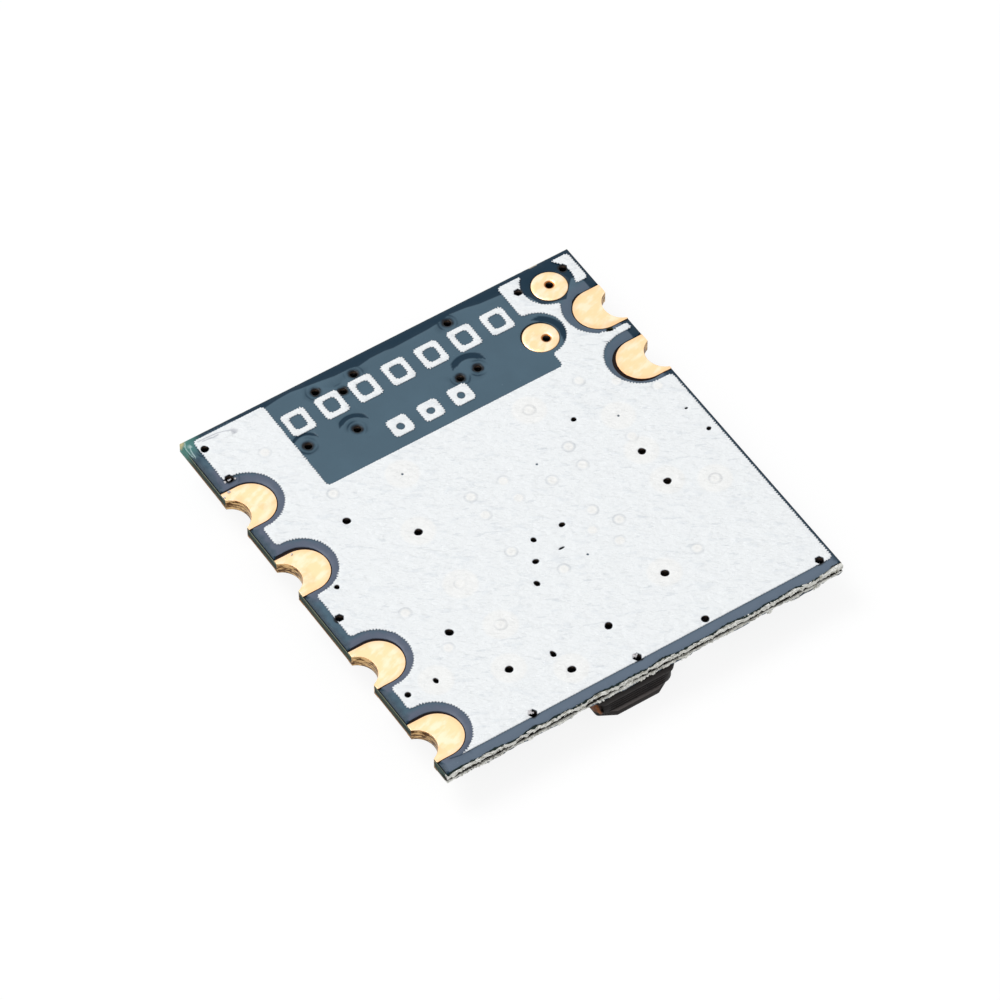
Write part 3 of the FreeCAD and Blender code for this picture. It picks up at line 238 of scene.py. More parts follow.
class FinishBench(Bench):
    """Bench for one finish, with places on the object in millimetres."""

    def __init__(self, name: str) -> None:
        """Start an empty material.

        Args:
            name: name of the material.
        """
        self.material = bpy.data.materials.new(name)
        self.material.use_nodes = True
        super().__init__(self.material.node_tree)
        self.tree.nodes.clear()
        place = self.put("ShaderNodeTexCoord").outputs["Object"]
        self.place = self.put("ShaderNodeVectorMath", {0: place, 3: 1 / MM}, operation="SCALE").outputs[0]

    def stretched(self, stretch: Triple, turn: float = 0.0) -> Socket:
        """Places squeezed along each axis, so that grain runs along the others.

        Args:
            stretch: factor along X, Y and Z.
            turn: turn about Z, in degrees.

        Returns:
            The vector socket.
        """
        size = tuple(1 / s for s in stretch)
        wired = {"Vector": self.place, "Scale": size, "Rotation": (0.0, 0.0, math.radians(turn))}
        return self.put("ShaderNodeMapping", wired, vector_type="TEXTURE").outputs[0]

    def grain(self, scale: float, detail: float = 3.0, stretch: Triple | None = None,
              turn: float = 0.0, rough: float = 0.5) -> Socket:
        """Cloudy noise.

        Args:
            scale: lumps per millimetre.
            detail: octaves of finer lumps.
            stretch: factor along each axis, if the grain runs.
            turn: turn of the grain about Z, in degrees.
            rough: weight of the finer octaves.

        Returns:
            The factor socket.
        """
        vector = self.stretched(stretch, turn) if stretch else self.place
        wired = {"Vector": vector, "Scale": scale, "Detail": detail, "Roughness": rough}
        return self.put("ShaderNodeTexNoise", wired).outputs["Fac"]

    def cells(self, scale: float) -> Socket:
        """Distance to the nearest of scattered points, of which there are scale per millimetre."""
        return self.put("ShaderNodeTexVoronoi", {"Vector": self.place, "Scale": scale}).outputs["Distance"]

    def distance(self, place: Socket, spot: Triple) -> Socket:
        """Distance from a place to a fixed spot, in millimetres."""
        return self.put("ShaderNodeVectorMath", {0: place, 1: spot}, operation="DISTANCE").outputs["Value"]

    def axis(self, name: str) -> Socket:
        """One coordinate of the place, in millimetres."""
        return self.put("ShaderNodeSeparateXYZ", {0: self.place}).outputs[name]

    def facing_up(self) -> Socket:
        """How far the surface looks up or down, 0 on a wall and 1 on a level face."""
        normal = self.put("ShaderNodeNewGeometry").outputs["Normal"]
        return self.sum("ABSOLUTE", self.put("ShaderNodeSeparateXYZ", {0: normal}).outputs["Z"])

    def marked(self, name: str) -> Socket:
        """Factor that the mesh carries under a name."""
        return self.put("ShaderNodeAttribute", attribute_name=name).outputs["Fac"]

    def between(self, factor: object, low: float, high: float) -> Socket:
        """Ease a factor from 0 at low to 1 at high."""
        wired = {"Value": factor, "From Min": low, "From Max": high}
        return self.put("ShaderNodeMapRange", wired, interpolation_type="SMOOTHSTEP").outputs[0]

    def spread(self, factor: object, low: float, high: float) -> Socket:
        """Send a factor from 0..1 to low..high."""
        return self.put("ShaderNodeMapRange", {"Value": factor, "To Min": low, "To Max": high}).outputs[0]

    def tint(self, factor: object, first: object, second: object) -> Socket:
        """Mix two colours.

        Args:
            factor: socket or number, 0 for the first colour.
            first: socket or linear colour.
            second: socket or linear colour.

        Returns:
            The colour socket.
        """
        ends = [c if isinstance(c, Socket) else (*c, 1.0) for c in (first, second)]
        return self.put("ShaderNodeMix", {0: factor, 6: ends[0], 7: ends[1]}, data_type="RGBA").outputs[2]

    def layered(self, base: object, *layers: tuple[object, object]) -> Socket:
        """Lay colours over one another.

        Args:
            base: socket or linear colour of the ground.
            layers: factor and colour of each layer, the lowest first.

        Returns:
            The colour socket.
        """
        for factor, colour in layers:
            base = self.tint(factor, base, colour)
        return base

    def relief(self, height: object, depth: float) -> Socket:
        """Bump of a given depth in millimetres."""
        wired = {"Height": height, "Distance": depth * MM, "Strength": 1.0}
        return self.put("ShaderNodeBump", wired).outputs[0]

    def surface(self, **inputs: object) -> bpy.types.Material:
        """Close the material with its surface shader.

        Args:
            inputs: sockets or values of the shader, with _ for each space in a socket's name.

        Returns:
            The material.
        """
        wired = {key.replace("_", " "): value for key, value in inputs.items()}
        shader = self.put("ShaderNodeBsdfPrincipled", wired)
        self.put("ShaderNodeOutputMaterial", {"Surface": shader.outputs[0]})
        return self.material


class PatternTree(Bench):
    """Geometry tree with named inputs that ends in one dressed mesh."""

    def __init__(self, name: str) -> None:
        """Start a tree.

        Args:
            name: name of the tree.
        """
        tree = bpy.data.node_groups.new(name, "GeometryNodeTree")
        tree.interface.new_socket("Geometry", in_out="INPUT", socket_type="NodeSocketGeometry")
        tree.interface.new_socket("Geometry", in_out="OUTPUT", socket_type="NodeSocketGeometry")
        super().__init__(tree)
        self.keys: dict[str, str] = {}
        self.start = self.put("NodeGroupInput")
        self.paint = self.ask("Finish", "NodeSocketMaterial")

    def ask(self, label: str, kind: str = "NodeSocketFloat") -> Socket:
        """Add a named input.

        Args:
            label: name of the input.
            kind: Blender's name of its type.

        Returns:
            Its socket inside the tree.
        """
        item = self.tree.interface.new_socket(label, in_out="INPUT", socket_type=kind)
        self.keys[label] = item.identifier
        return self.start.outputs[label]

    def drawn(self, low: Triple, high: Triple, seed: Socket) -> Socket:
        """Random vector between two corners, drawn for each point."""
        wired = {0: low, 1: high, "Seed": seed}
        return self.put("FunctionNodeRandomValue", wired, data_type="FLOAT_VECTOR").outputs[0]

    def copies(self, points: Socket, instance: Socket, **pose: Socket) -> Socket:
        """A copy of an instance on each point, with its Rotation and Scale where given."""
        wired = {"Points": points, "Instance": instance, **pose}
        return self.put("GeometryNodeInstanceOnPoints", wired).outputs[0]

    def ring(self, radius: Socket, corners: int) -> Socket:
        """Round path or profile."""
        wired = {"Resolution": corners, "Radius": radius}
        return self.put("GeometryNodeCurvePrimitiveCircle", wired).outputs[0]

    def oblong(self, width: Socket, height: Socket) -> Socket:
        """Rectangular path or profile."""
        wired = {"Width": width, "Height": height}
        return self.put("GeometryNodeCurvePrimitiveQuadrilateral", wired).outputs[0]

    def rounded(self, outline: Socket, radius: Socket, count: int) -> Socket:
        """Path or profile with rounded corners."""
        wired = {"Curve": outline, "Radius": radius, "Count": count}
        return self.put("GeometryNodeFilletCurve", wired, mode="POLY").outputs[0]

    def swept(self, path: Socket, profile: Socket, caps: bool = False) -> Socket:
        """Profile run along a path."""
        wired = {"Curve": path, "Profile Curve": profile, "Fill Caps": caps}
        return self.put("GeometryNodeCurveToMesh", wired).outputs[0]

    def close(self, geometry: Socket) -> None:
        """End the tree: instances made real, then the finish.

        Args:
            geometry: what the tree has made.
        """
        real = self.put("GeometryNodeRealizeInstances", {"Geometry": geometry}).outputs[0]
        wired = {"Geometry": real, "Material": self.paint}
        dressed = self.put("GeometryNodeSetMaterial", wired).outputs[0]
        self.put("NodeGroupOutput", {"Geometry": dressed})

    def grow(self, name: str, seed: Piece, values: Mapping[str, object]) -> Piece:
        """Run the tree on a seed object and keep the result as a plain mesh.

        Args:
            name: name of the new piece.
            seed: object whose points or curves the pattern follows; it is used up.
            values: a value for each named input.

        Returns:
            The finished piece.
        """
        modifier = seed.modifiers.new("pattern", "NODES")
        modifier.node_group = self.tree
        for label, value in values.items():
            modifier[self.keys[label]] = value
        depsgraph = bpy.context.evaluated_depsgraph_get()
        mesh = bpy.data.meshes.new_from_object(seed.evaluated_get(depsgraph), depsgraph=depsgraph)
        seed.modifiers.remove(modifier)
        bpy.data.objects.remove(seed)
        mesh.name = name
        return new_object(name, mesh)


# Finishes


@dataclass(frozen=True)
class Finish:
    """A surface finish: named for what it is, made once, shared by its pieces."""

    name: str

    def material(self) -> bpy.types.Material:
        """The material, made at its first use."""
        found = bpy.data.materials.get(self.name)
        return found or self.brush(FinishBench(self.name))

    def brush(self, bench: FinishBench) -> bpy.types.Material:
        """Lay the finish on a bench; each finish does it in its own way."""
        raise NotImplementedError


WORN_SPOT: Triple = (-6.13, 6.46, 1.3)
THIN_LACQUER: Colour = (0.075, 0.235, 0.205)
BRUISED_LAMINATE: Colour = (0.52, 0.46, 0.25)


def worn_corner(bench: FinishBench, base: object) -> Socket:
    """Colour of the left back corner, where wear has thinned the lacquer and bruised the laminate.

    Args:
        bench: bench of the material.
        base: colour away from the corner.

    Returns:
        The colour socket.
    """
    gap = bench.distance(bench.place, WORN_SPOT)
    uneven = bench.sum("ADD", gap, bench.spread(bench.grain(3.5, 3.0), -0.16, 0.16))
    thinned = bench.times(bench.between(uneven, 0.75, 0.2), 0.9)
    bruised = bench.between(uneven, 0.24, 0.10)
    return bench.layered(base, (thinned, THIN_LACQUER), (bruised, BRUISED_LAMINATE))


@dataclass(frozen=True)
class PrintInk(Finish):
    """White screen ink over woven laminate: mottled, with painted shade in its grain and a painted
    highlight on the domes over closed vias; darker at its edges and over dimples, partly thinner ink and
    partly painted shade.
    """

    ink: Colour = (0.897, 0.922, 0.937)
    # grey tints of painted shade in the grain
    grain_shade: Colour = (0.815, 0.85, 0.88)
    dash_shade: Colour = (0.64, 0.68, 0.72)
    # lighter tint over the lands, and painted highlight on the domes over closed vias
    lighter_and_highlight: Colour = (0.95, 0.945, 0.925)
    lie: float = -33.5
    # dark tint of the thin mark: painted shade over closed vias, and a line along the print's edge that is
    # partly thinner ink, partly painted shadow
    thin: Colour = (0.05, 0.075, 0.13)
    scuff: Colour = (0.30, 0.31, 0.37)
    peel_depth: float = 0.062

    def brush(self, bench: FinishBench) -> bpy.types.Material:
        """Lay the ink.

        Args:
            bench: bench of the new material.

        Returns:
            The material.
        """
        peel = bench.grain(6.8, 3.0, (0.42, 1.0, 1.0), self.lie)
        fine = bench.grain(15.0, 1.0, (0.4, 1.0, 1.0), self.lie)
        # Painted shade of the grain: grey where the peel noise is high, and short grey dashes.
        grain_shade_share = bench.times(bench.between(peel, 0.54, 0.70), 0.75)
        dashes = bench.between(bench.grain(9.0, 2.0, (0.28, 1.0, 1.0), self.lie + 6), 0.64, 0.72)
        # the thin mark lays painted shade over closed vias and along the print's edge
        base = bench.layered(self.ink, (grain_shade_share, self.grain_shade), (bench.times(dashes, 0.4), self.dash_shade),
                             (bench.marked("bright"), self.lighter_and_highlight), (bench.marked("scuff"), self.scuff),
                             (bench.marked("thin"), self.thin))
        bump = bench.relief(bench.sum("ADD", peel, bench.times(fine, 0.35)), self.peel_depth)
        return bench.surface(Base_Color=base, Roughness=0.6, Normal=bump, Specular_IOR_Level=0.3)


@dataclass(frozen=True)
class SolderMask(Finish):
    """Dark blue lacquer: slate over copper, deep teal where the laminate lies bare beneath."""

    over_copper: Colour = (0.066, 0.118, 0.160)
    over_glass: Colour = (0.0005, 0.022, 0.045)
    ring: Colour = (0.105, 0.128, 0.180)
    # lighter tint along the front edge: painted reflection
    painted_front_sheen: Colour = (0.120, 0.160, 0.215)
    dust: Colour = (0.25, 0.33, 0.40)
    # near black: painted shade round each open via
    pit_shade: Colour = (0.003, 0.004, 0.007)
    streak: Colour = (0.52, 0.68, 0.68)
    roughness: float = 0.34

    def brush(self, bench: FinishBench) -> bpy.types.Material:
        """Lay the lacquer.

        Args:
            bench: bench of the new material.

        Returns:
            The material.
        """
        brighter = tuple(1.12 * c for c in self.over_copper)
        copper = bench.tint(bench.between(bench.grain(0.9, 3.0), 0.3, 0.8), self.over_copper, brighter)
        # Painted reflection: the lacquer lighter towards the front edge.
        front = bench.between(bench.axis("Y"), -5.95, -6.2)
        specks = bench.times(bench.between(bench.cells(2.6), 0.035, 0.015), 0.55)
        base = bench.layered(copper, (bench.marked("ring"), self.ring), (front, self.painted_front_sheen),
                             (bench.marked("bare"), self.over_glass), (specks, self.dust),
                             (bench.marked("pit_shade"), self.pit_shade))
        base = bench.tint(bench.marked("streak"), worn_corner(bench, base), self.streak)
        bump = bench.relief(bench.grain(14.0, 3.0), 0.0015)
        return bench.surface(Base_Color=base, Roughness=self.roughness, Normal=bump,
                             Specular_IOR_Level=0.22)


@dataclass(frozen=True)
class GoldPlate(Finish):
    """Immersion gold over nickel: pale on level faces; brown and streaked on cut walls, whose darkness is
    partly the rough wall's own and partly painted shade.
    """

    face: Colour = (0.965, 0.715, 0.415)
    pale: Colour = (0.985, 0.81, 0.58)
    blush: Colour = (0.95, 0.57, 0.30)
    rim: Colour = (0.42, 0.15, 0.04)
    # wall colours: drill streaks, darkened partly as painted shade on the cut walls
    wall: Colour = (0.66, 0.43, 0.20)
    dark_wall: Colour = (0.08, 0.034, 0.009)
    red_wall: Colour = (0.10, 0.030, 0.015)

    def brush(self, bench: FinishBench) -> bpy.types.Material:
        """Lay the plating.

        Args:
            bench: bench of the new material.

        Returns:
            The material.
        """
        upright = bench.facing_up()
        level = bench.between(upright, 0.25, 0.75)
        patch = bench.grain(2.2, 4.0, (1.0, 2.2, 1.0), 20.0)
        grain = bench.grain(30.0, 3.0)
        streak = bench.grain(5.0, 4.0, (0.7, 0.7, 3.2), 0.0, 0.7)
        stains = bench.times(bench.between(bench.grain(1.7, 5.0), 0.56, 0.7), 0.45)
        away = self.pad_distance(bench)
        on_pad = bench.between(away, 0.74, 0.715)
        glow = bench.times(bench.times(bench.between(away, 0.50, 0.70), on_pad), 0.5)
        inland = bench.between(bench.sum("ABSOLUTE", bench.axis("X")), 5.98, 5.9)
        edge = bench.times(bench.between(upright, 0.985, 0.9), inland)
        face = bench.layered(self.face, (bench.between(patch, 0.42, 0.62), self.pale),
                             (stains, self.blush), (glow, self.blush), (edge, self.rim))
        outer = bench.times(bench.between(away, 0.685, 0.695), on_pad)
        wall = bench.layered(self.dark_wall, (bench.between(streak, 0.44, 0.56), self.wall),
                             (outer, self.red_wall))
        bump = bench.relief(bench.sum("ADD", bench.times(grain, 0.3), streak), 0.012)
        flat = bench.relief(bench.sum("ADD", grain, patch), 0.0012)
        mixed = bench.put("ShaderNodeMix", {0: level, 4: bump, 5: flat}, data_type="VECTOR").outputs[1]
        return bench.surface(Base_Color=bench.tint(level, wall, face), Metallic=1.0,
                             Roughness=bench.spread(level, 0.42, 0.36), Normal=mixed)

    def pad_distance(self, bench: FinishBench) -> Socket:
        """Distance from the middle of the nearest contact pad's lobe.

        Args:
            bench: bench of the material.

        Returns:
            The distance socket, in millimetres.
        """
        reach = max(x for x, _ in CONTACTS.values()) - PAD_REACH
        across = bench.sum("MINIMUM", bench.sum("MAXIMUM", bench.axis("X"), -reach), reach)
        place = bench.put("ShaderNodeCombineXYZ", {0: across, 1: bench.axis("Y")}).outputs[0]
        nearest: object = 99.0
        for x, y in CONTACTS.values():
            gap = bench.distance(place, (math.copysign(reach, x), y, 0.0))
            nearest = bench.sum("MINIMUM", gap, nearest)
        return nearest


@dataclass(frozen=True)
class GlassLaminate(Finish):
    """Cut and torn edge of the woven glass laminate."""

    cut: Colour = (0.010, 0.022, 0.019)
    ply: Colour = (0.052, 0.066, 0.044)
    rim: Colour = (0.34, 0.17, 0.07)
    # painted highlight near the top of the cut wall
    top_edge_highlight: Colour = (0.24, 0.29, 0.20)
    teal: Colour = (0.045, 0.085, 0.075)
    # near black: painted shade on the laminate's top in the lacquer's gaps
    gap_floor_shade: Colour = (0.012, 0.006, 0.005)
    torn: Colour = (0.80, 0.80, 0.75)
    torn_dark: Colour = (0.27, 0.265, 0.22)
    # near black: painted shade inside the split
    crack_shade: Colour = (0.022, 0.019, 0.015)
    back_line: Colour = (0.52, 0.46, 0.36)
    low: float = 1.01
    split: float = 1.135
    high: float = 1.33

    def brush(self, bench: FinishBench) -> bpy.types.Material:
        """Lay the edge of the laminate.

        Args:
            bench: bench of the new material.

        Returns:
            The material.
        """
        plies = bench.grain(4.5, 4.0, (0.35, 0.35, 5.0))
        crumbs = bench.grain(17.0, 4.0, None, 0.0, 0.65)
        strands = bench.grain(9.0, 4.0, (0.3, 1.0, 1.6), 0.0, 0.6)
        across, depth, height = (bench.axis(name) for name in "XYZ")
        low_rim = bench.between(height, self.low + 0.075, self.low + 0.025)
        # Painted highlight: a lighter line near the top of the cut wall.
        top_edge_highlight_share = bench.times(bench.between(height, self.high - 0.055, self.high - 0.035), 0.8)
        low_end = bench.times(bench.between(depth, -5.7, -6.1), 0.6)
        edge = bench.layered(self.cut, (bench.between(plies, 0.4, 0.68), self.ply), (low_rim, self.rim),
                             (top_edge_highlight_share, self.top_edge_highlight), (low_end, self.teal))
        # Painted shade on the laminate's top where the lacquer's gaps lay it open.
        top = bench.tint(bench.between(depth, 6.40, 6.43), self.gap_floor_shade, self.back_line)
        fibre = bench.tint(bench.between(strands, 0.33, 0.47), self.torn_dark, self.torn)
        # Painted shade inside the split between the plies.
        from_split = bench.sum("ABSOLUTE", bench.sum("SUBTRACT", height, self.split))
        inside = bench.times(bench.between(from_split, 0.095, 0.07), bench.between(depth, -6.42, -6.37))
        crack_shade = bench.tint(inside, fibre, self.crack_shade)
        top_front = bench.tint(bench.between(across, 5.4, 5.6), self.cut, fibre)
        level = bench.between(bench.facing_up(), 0.5, 0.8)
        high = bench.between(height, self.high - 0.03, self.high - 0.012)
        torn = bench.tint(bench.times(level, high), crack_shade, top_front)
        base = bench.tint(bench.between(depth, -6.31, -6.35), bench.tint(level, edge, top), torn)
        bump = bench.relief(bench.sum("ADD", crumbs, plies), 0.02)
        return bench.surface(Base_Color=worn_corner(bench, base), Roughness=0.7, Normal=bump,
                             Specular_IOR_Level=0.15)


@dataclass(frozen=True)
class GlassFibre(Finish):
    """Loose glass and resin crumbs of the torn edge."""

    glass: Colour = (0.88, 0.88, 0.84)
    resin: Colour = (0.42, 0.41, 0.35)

    def brush(self, bench: FinishBench) -> bpy.types.Material:
        """Lay the fibres' look.

        Args:
            bench: bench of the new material.

        Returns:
            The material.
        """
        lumps = bench.grain(7.0, 4.0)
        fine = bench.grain(60.0, 2.0, (0.2, 1.0, 1.0))
        base = bench.tint(bench.between(lumps, 0.33, 0.52), self.resin, self.glass)
        return bench.surface(Base_Color=base, Roughness=0.45, Normal=bench.relief(fine, 0.002))


@dataclass(frozen=True)
class Moulding(Finish):
    """Dull filled resin or fired ceramic: one colour family with speckle and grain."""

    light: Colour = (0.045, 0.045, 0.05)
    dark: Colour = (0.018, 0.018, 0.02)
    lumps: float = 9.0
    speckle: Colour = (0.12, 0.12, 0.13)
    speckle_share: float = 0.3
    roughness: float = 0.6
    depth: float = 0.004
    coat: float = 0.0
    # colour of a painted highlight on eased edges low on the part, where given
    edge: Colour | None = None
    gloss: float = 0.5

    def brush(self, bench: FinishBench) -> bpy.types.Material:
        """Lay the resin or ceramic.

        Args:
            bench: bench of the new material.

        Returns:
            The material.
        """
        cloud = bench.grain(self.lumps * 0.2, 3.0)
        grain = bench.grain(self.lumps, 4.0, None, 0.0, 0.6)
        mottle = bench.sum("ADD", bench.times(cloud, 0.5), bench.times(grain, 0.5))
        dots = bench.between(bench.cells(self.lumps * 1.6), 0.16, 0.06)
        base = bench.layered(self.dark, (bench.between(mottle, 0.35, 0.65), self.light),
                             (bench.times(dots, self.speckle_share), self.speckle))
        # Painted highlight on the tilted faces of the low flange's eased edges.
        if self.edge:
            upright = bench.facing_up()
            flange_edge_highlight = bench.times(bench.between(upright, 0.2, 0.5), bench.between(upright, 0.99, 0.93))
            low_flange = bench.between(bench.axis("Z"), 0.40, 0.35)
            base = bench.tint(bench.times(flange_edge_highlight, low_flange), base, self.edge)
        bump = bench.relief(grain, self.depth)
        return bench.surface(Base_Color=base, Roughness=self.roughness, Normal=bump,
                             Specular_IOR_Level=self.gloss, Coat_Weight=self.coat, Coat_Roughness=0.15)


@dataclass(frozen=True)
class Metal(Finish):
    """Tin, solder or lid metal with a fine grain, brushed along X where asked."""

    bright: Colour = (0.80, 0.80, 0.79)
    dull: Colour = (0.52, 0.52, 0.51)
    stretch: Triple = (1.0, 1.0, 1.0)
    lumps: float = 12.0
    smooth: float = 0.2
    coarse: float = 0.42
    depth: float = 0.003

    def brush(self, bench: FinishBench) -> bpy.types.Material:
        """Lay the metal.

        Args:
            bench: bench of the new material.

        Returns:
            The material.
        """
        grain = bench.grain(self.lumps, 4.0, self.stretch, 0.0, 0.6)
        patch = bench.grain(1.6, 3.0)
        base = bench.tint(bench.between(grain, 0.35, 0.7), self.dull, self.bright)
        rough = bench.spread(patch, self.smooth, self.coarse)
        return bench.surface(Base_Color=base, Metallic=1.0, Roughness=rough,
                             Normal=bench.relief(grain, self.depth))


@dataclass(frozen=True)
class WindingResin(Finish):
    """Enamelled turns under dark resin, with copper showing through at the left end."""

    coat: Colour = (0.0055, 0.0045, 0.0045)
    lighter: Colour = (0.013, 0.010, 0.009)
    glint: Colour = (0.24, 0.085, 0.03)
    bare_end: float = -1.44

    def brush(self, bench: FinishBench) -> bpy.types.Material:
        """Lay the resin.

        Args:
            bench: bench of the new material.

        Returns:
            The material.
        """
        runs = bench.grain(3.0, 3.0, (1.0, 1.0, 4.0))
        base = bench.tint(bench.between(runs, 0.35, 0.7), self.coat, self.lighter)
        end = bench.between(bench.axis("X"), self.bare_end + 0.12, self.bare_end - 0.08)
        base = bench.tint(end, base, self.glint)
        return bench.surface(Base_Color=base, Roughness=0.5, Normal=bench.relief(runs, 0.01),
                             Specular_IOR_Level=0.12)


PRINT = PrintInk("white_print_ink")
MASK = SolderMask("blue_solder_mask")
GOLD = GoldPlate("immersion_gold")
LAMINATE = GlassLaminate("glass_laminate_edge")
FIBRE = GlassFibre("torn_glass_fibre")
CHIP_RESIN = Moulding("chip_moulding_resin")
# the ferrite's edge colour is a painted highlight on its eased flange edges
FERRITE = Moulding("sintered_ferrite", (0.014, 0.011, 0.010), (0.007, 0.0055, 0.005), 7.0,
                   (0.035, 0.03, 0.028), 0.4, 0.7, 0.006, 0.0, (0.095, 0.083, 0.08), 0.28)
# Plating of the drilled holes painted near black: painted shade inside the holes.
SHADED_BORE = GoldPlate("via_plating", (0.20, 0.15, 0.11), (0.28, 0.22, 0.18), (0.14, 0.10, 0.07),
                 (0.03, 0.02, 0.014), (0.065, 0.06, 0.066), (0.012, 0.011, 0.013))
LAND_GOLD = GoldPlate("land_gold", rim=(0.80, 0.52, 0.24), wall=(0.92, 0.66, 0.36),
                      dark_wall=(0.70, 0.45, 0.20))
CRUMB = Moulding("ink_crumb", (0.78, 0.76, 0.77), (0.48, 0.46, 0.47), 30.0, (0.25, 0.22, 0.22), 0.5, 0.6,
                 0.003)
BROWN_CERAMIC = Moulding("capacitor_ceramic", (0.36, 0.25, 0.16), (0.25, 0.16, 0.10), 10.0,
                         (0.45, 0.34, 0.24), 0.35, 0.5, 0.002)
GREY_CERAMIC = Moulding("inductor_ceramic", (0.30, 0.33, 0.38), (0.19, 0.21, 0.26), 10.0,
                        (0.45, 0.47, 0.5), 0.3, 0.45, 0.002)
PALE_CERAMIC = Moulding("filter_ceramic", (0.62, 0.64, 0.66), (0.47, 0.49, 0.52), 8.0,
                        (0.75, 0.76, 0.78), 0.4, 0.5, 0.002)
CRYSTAL_CERAMIC = Moulding("crystal_tray_ceramic", (0.085, 0.07, 0.06), (0.045, 0.037, 0.032), 12.0,
                           (0.16, 0.14, 0.12), 0.3, 0.55, 0.003)
GLAZE = Moulding("resistor_glaze", (0.022, 0.024, 0.028), (0.010, 0.011, 0.013), 4.0,
                 (0.04, 0.042, 0.05), 0.3, 0.22, 0.001, 0.4)
QUARTZ = Moulding("quartz_plate", (0.72, 0.74, 0.74), (0.60, 0.62, 0.63), 3.0,
                  (0.8, 0.82, 0.83), 0.2, 0.12, 0.0005, 0.5)
SOLDER = Metal("reflowed_solder", (0.74, 0.75, 0.76), (0.42, 0.43, 0.44), (1.0, 1.0, 1.0), 7.0,
               0.12, 0.34, 0.004)
TIN = Metal("matt_tin", (0.72, 0.71, 0.69), (0.60, 0.59, 0.58), (1.0, 1.0, 1.0), 16.0, 0.34, 0.48,
            0.0015)
LID_METAL = Metal("crystal_lid_metal", (0.82, 0.79, 0.72), (0.62, 0.60, 0.55), (0.25, 2.5, 1.0),
                  14.0, 0.22, 0.36, 0.0015)
RESIN = WindingResin("dark_winding_resin")


# Handing pieces over to the frame


def hand_over(piece: Piece, slot: str, finish: Finish | None,
              *replaced: str) -> Piece:
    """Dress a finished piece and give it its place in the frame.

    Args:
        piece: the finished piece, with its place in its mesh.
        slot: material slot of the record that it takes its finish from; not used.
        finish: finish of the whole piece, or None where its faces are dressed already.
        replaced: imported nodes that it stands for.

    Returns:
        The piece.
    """
    if finish is not None:
        piece.data.materials.clear()
        piece.data.materials.append(finish.material())
    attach(piece, BODY)
    if replaced:
        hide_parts(*replaced)
    log.info("%s: %d faces", piece.name, len(piece.data.polygons))
    return piece


def mesh_piece(name: str, points: Rows, faces: Sequence[Sequence[int]]) -> Piece:
    """Object from points in millimetres.

    Args:
        name: name of the piece.
        points: one row of three for each point.
        faces: corner numbers of each face, outwards.

    Returns:
        The new object.
    """
    mesh = bpy.data.meshes.new(name)
    mesh.from_pydata((np.asarray(points) * MM).tolist(), [], faces)
    mesh.validate()
    mesh.polygons.foreach_set("use_smooth", [True] * len(mesh.polygons))
    mesh.set_sharp_from_angle(angle=SHARP_FROM)
    return new_object(name, mesh)


def seed_points(name: str, points: Sequence[Sequence[float]]) -> Piece:
    """Loose points for a pattern to follow.

    Args:
        name: name of the seed.
        points: their places in millimetres.

    Returns:
        The seed.
    """
    mesh = bpy.data.meshes.new(name)
    mesh.from_pydata([(x * MM, y * MM, z * MM) for x, y, z in points], [], [])
    return new_object(name, mesh)


def seed_lines(name: str, kind: str, lines: Sequence[Sequence[Sequence[float]]]) -> Piece:
    """Curves for a pattern to follow.

    Args:
        name: name of the seed.
        kind: POLY for straight runs, NURBS for a smooth line.
        lines: points along each line, in millimetres.

    Returns:
        The seed.
    """
    curve = bpy.data.curves.new(name, "CURVE")
    curve.dimensions = "3D"
    for line in lines:
        spline = curve.splines.new(kind)
        spline.points.add(len(line) - 1)
        for point, place in zip(spline.points, line):
            point.co = (*(c * MM for c in place), 1.0)
        spline.order_u = 3
        spline.use_endpoint_u = True
    return new_object(name, curve)


def worked_piece(name: str, work: bmesh.types.BMesh) -> Piece:
    """Object from a mesh on the workbench, which is used up.

    Args:
        name: name of the piece.
        work: the worked mesh.

    Returns:
        The new object.
    """
    mesh = bpy.data.meshes.new(name)
    work.to_mesh(mesh)
    work.free()
    mesh.polygons.foreach_set("use_smooth", [True] * len(mesh.polygons))
    return new_object(name, mesh)


# Outlines of thin layers


def node_outlines(node: str, level: float, side: Side) -> list[Outline]:
    """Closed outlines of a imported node's faces at one level.

    Args:
        node: name of the node.
        level: level of the faces, in millimetres.
        side: which way those faces look.

    Returns:
        Outlines with the solid on their left, seen from above.
    """
    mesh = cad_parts[node].data
    mesh.calc_loop_triangles()
    keys: dict[tuple[int, int], int] = {}
    places: list[Point] = []
    following: dict[int, list[int]] = defaultdict(list)
    directed: set[tuple[int, int]] = set()
    for triangle in mesh.loop_triangles:
        corners = [mesh.vertices[i].co / MM for i in triangle.vertices]
        if max(abs(c.z - level) for c in corners) > 1e-3:
            continue
        ring = []
        for corner in corners:
            key = (round(corner.x * MERGE_STEPS), round(corner.y * MERGE_STEPS))
            if key not in keys:
                keys[key] = len(places)
                places.append((corner.x, corner.y))
            ring.append(keys[key])
        if side is Side.DOWN:
            ring.reverse()
        directed.update((ring[i], ring[(i + 1) % 3]) for i in range(3))
    for start, end in directed:
        if (end, start) not in directed:
            following[start].append(end)
    outlines = []
    while following:
        start = next(iter(following))
        ring = [start]
        while True:
            ends = following[ring[-1]]
            step = ends.pop()
            if not ends:
                del following[ring[-1]]
            if step == start:
                break
            ring.append(step)
        if len(ring) > 2:
            outlines.append(np.array([places[i] for i in ring]))
    return outlines


def signed_area(outline: Outline) -> float:
    """Area of an outline, positive if it runs anticlockwise."""
    x, y = outline[:, 0], outline[:, 1]
    return float(np.sum(x * np.roll(y, -1) - y * np.roll(x, -1)) / 2)


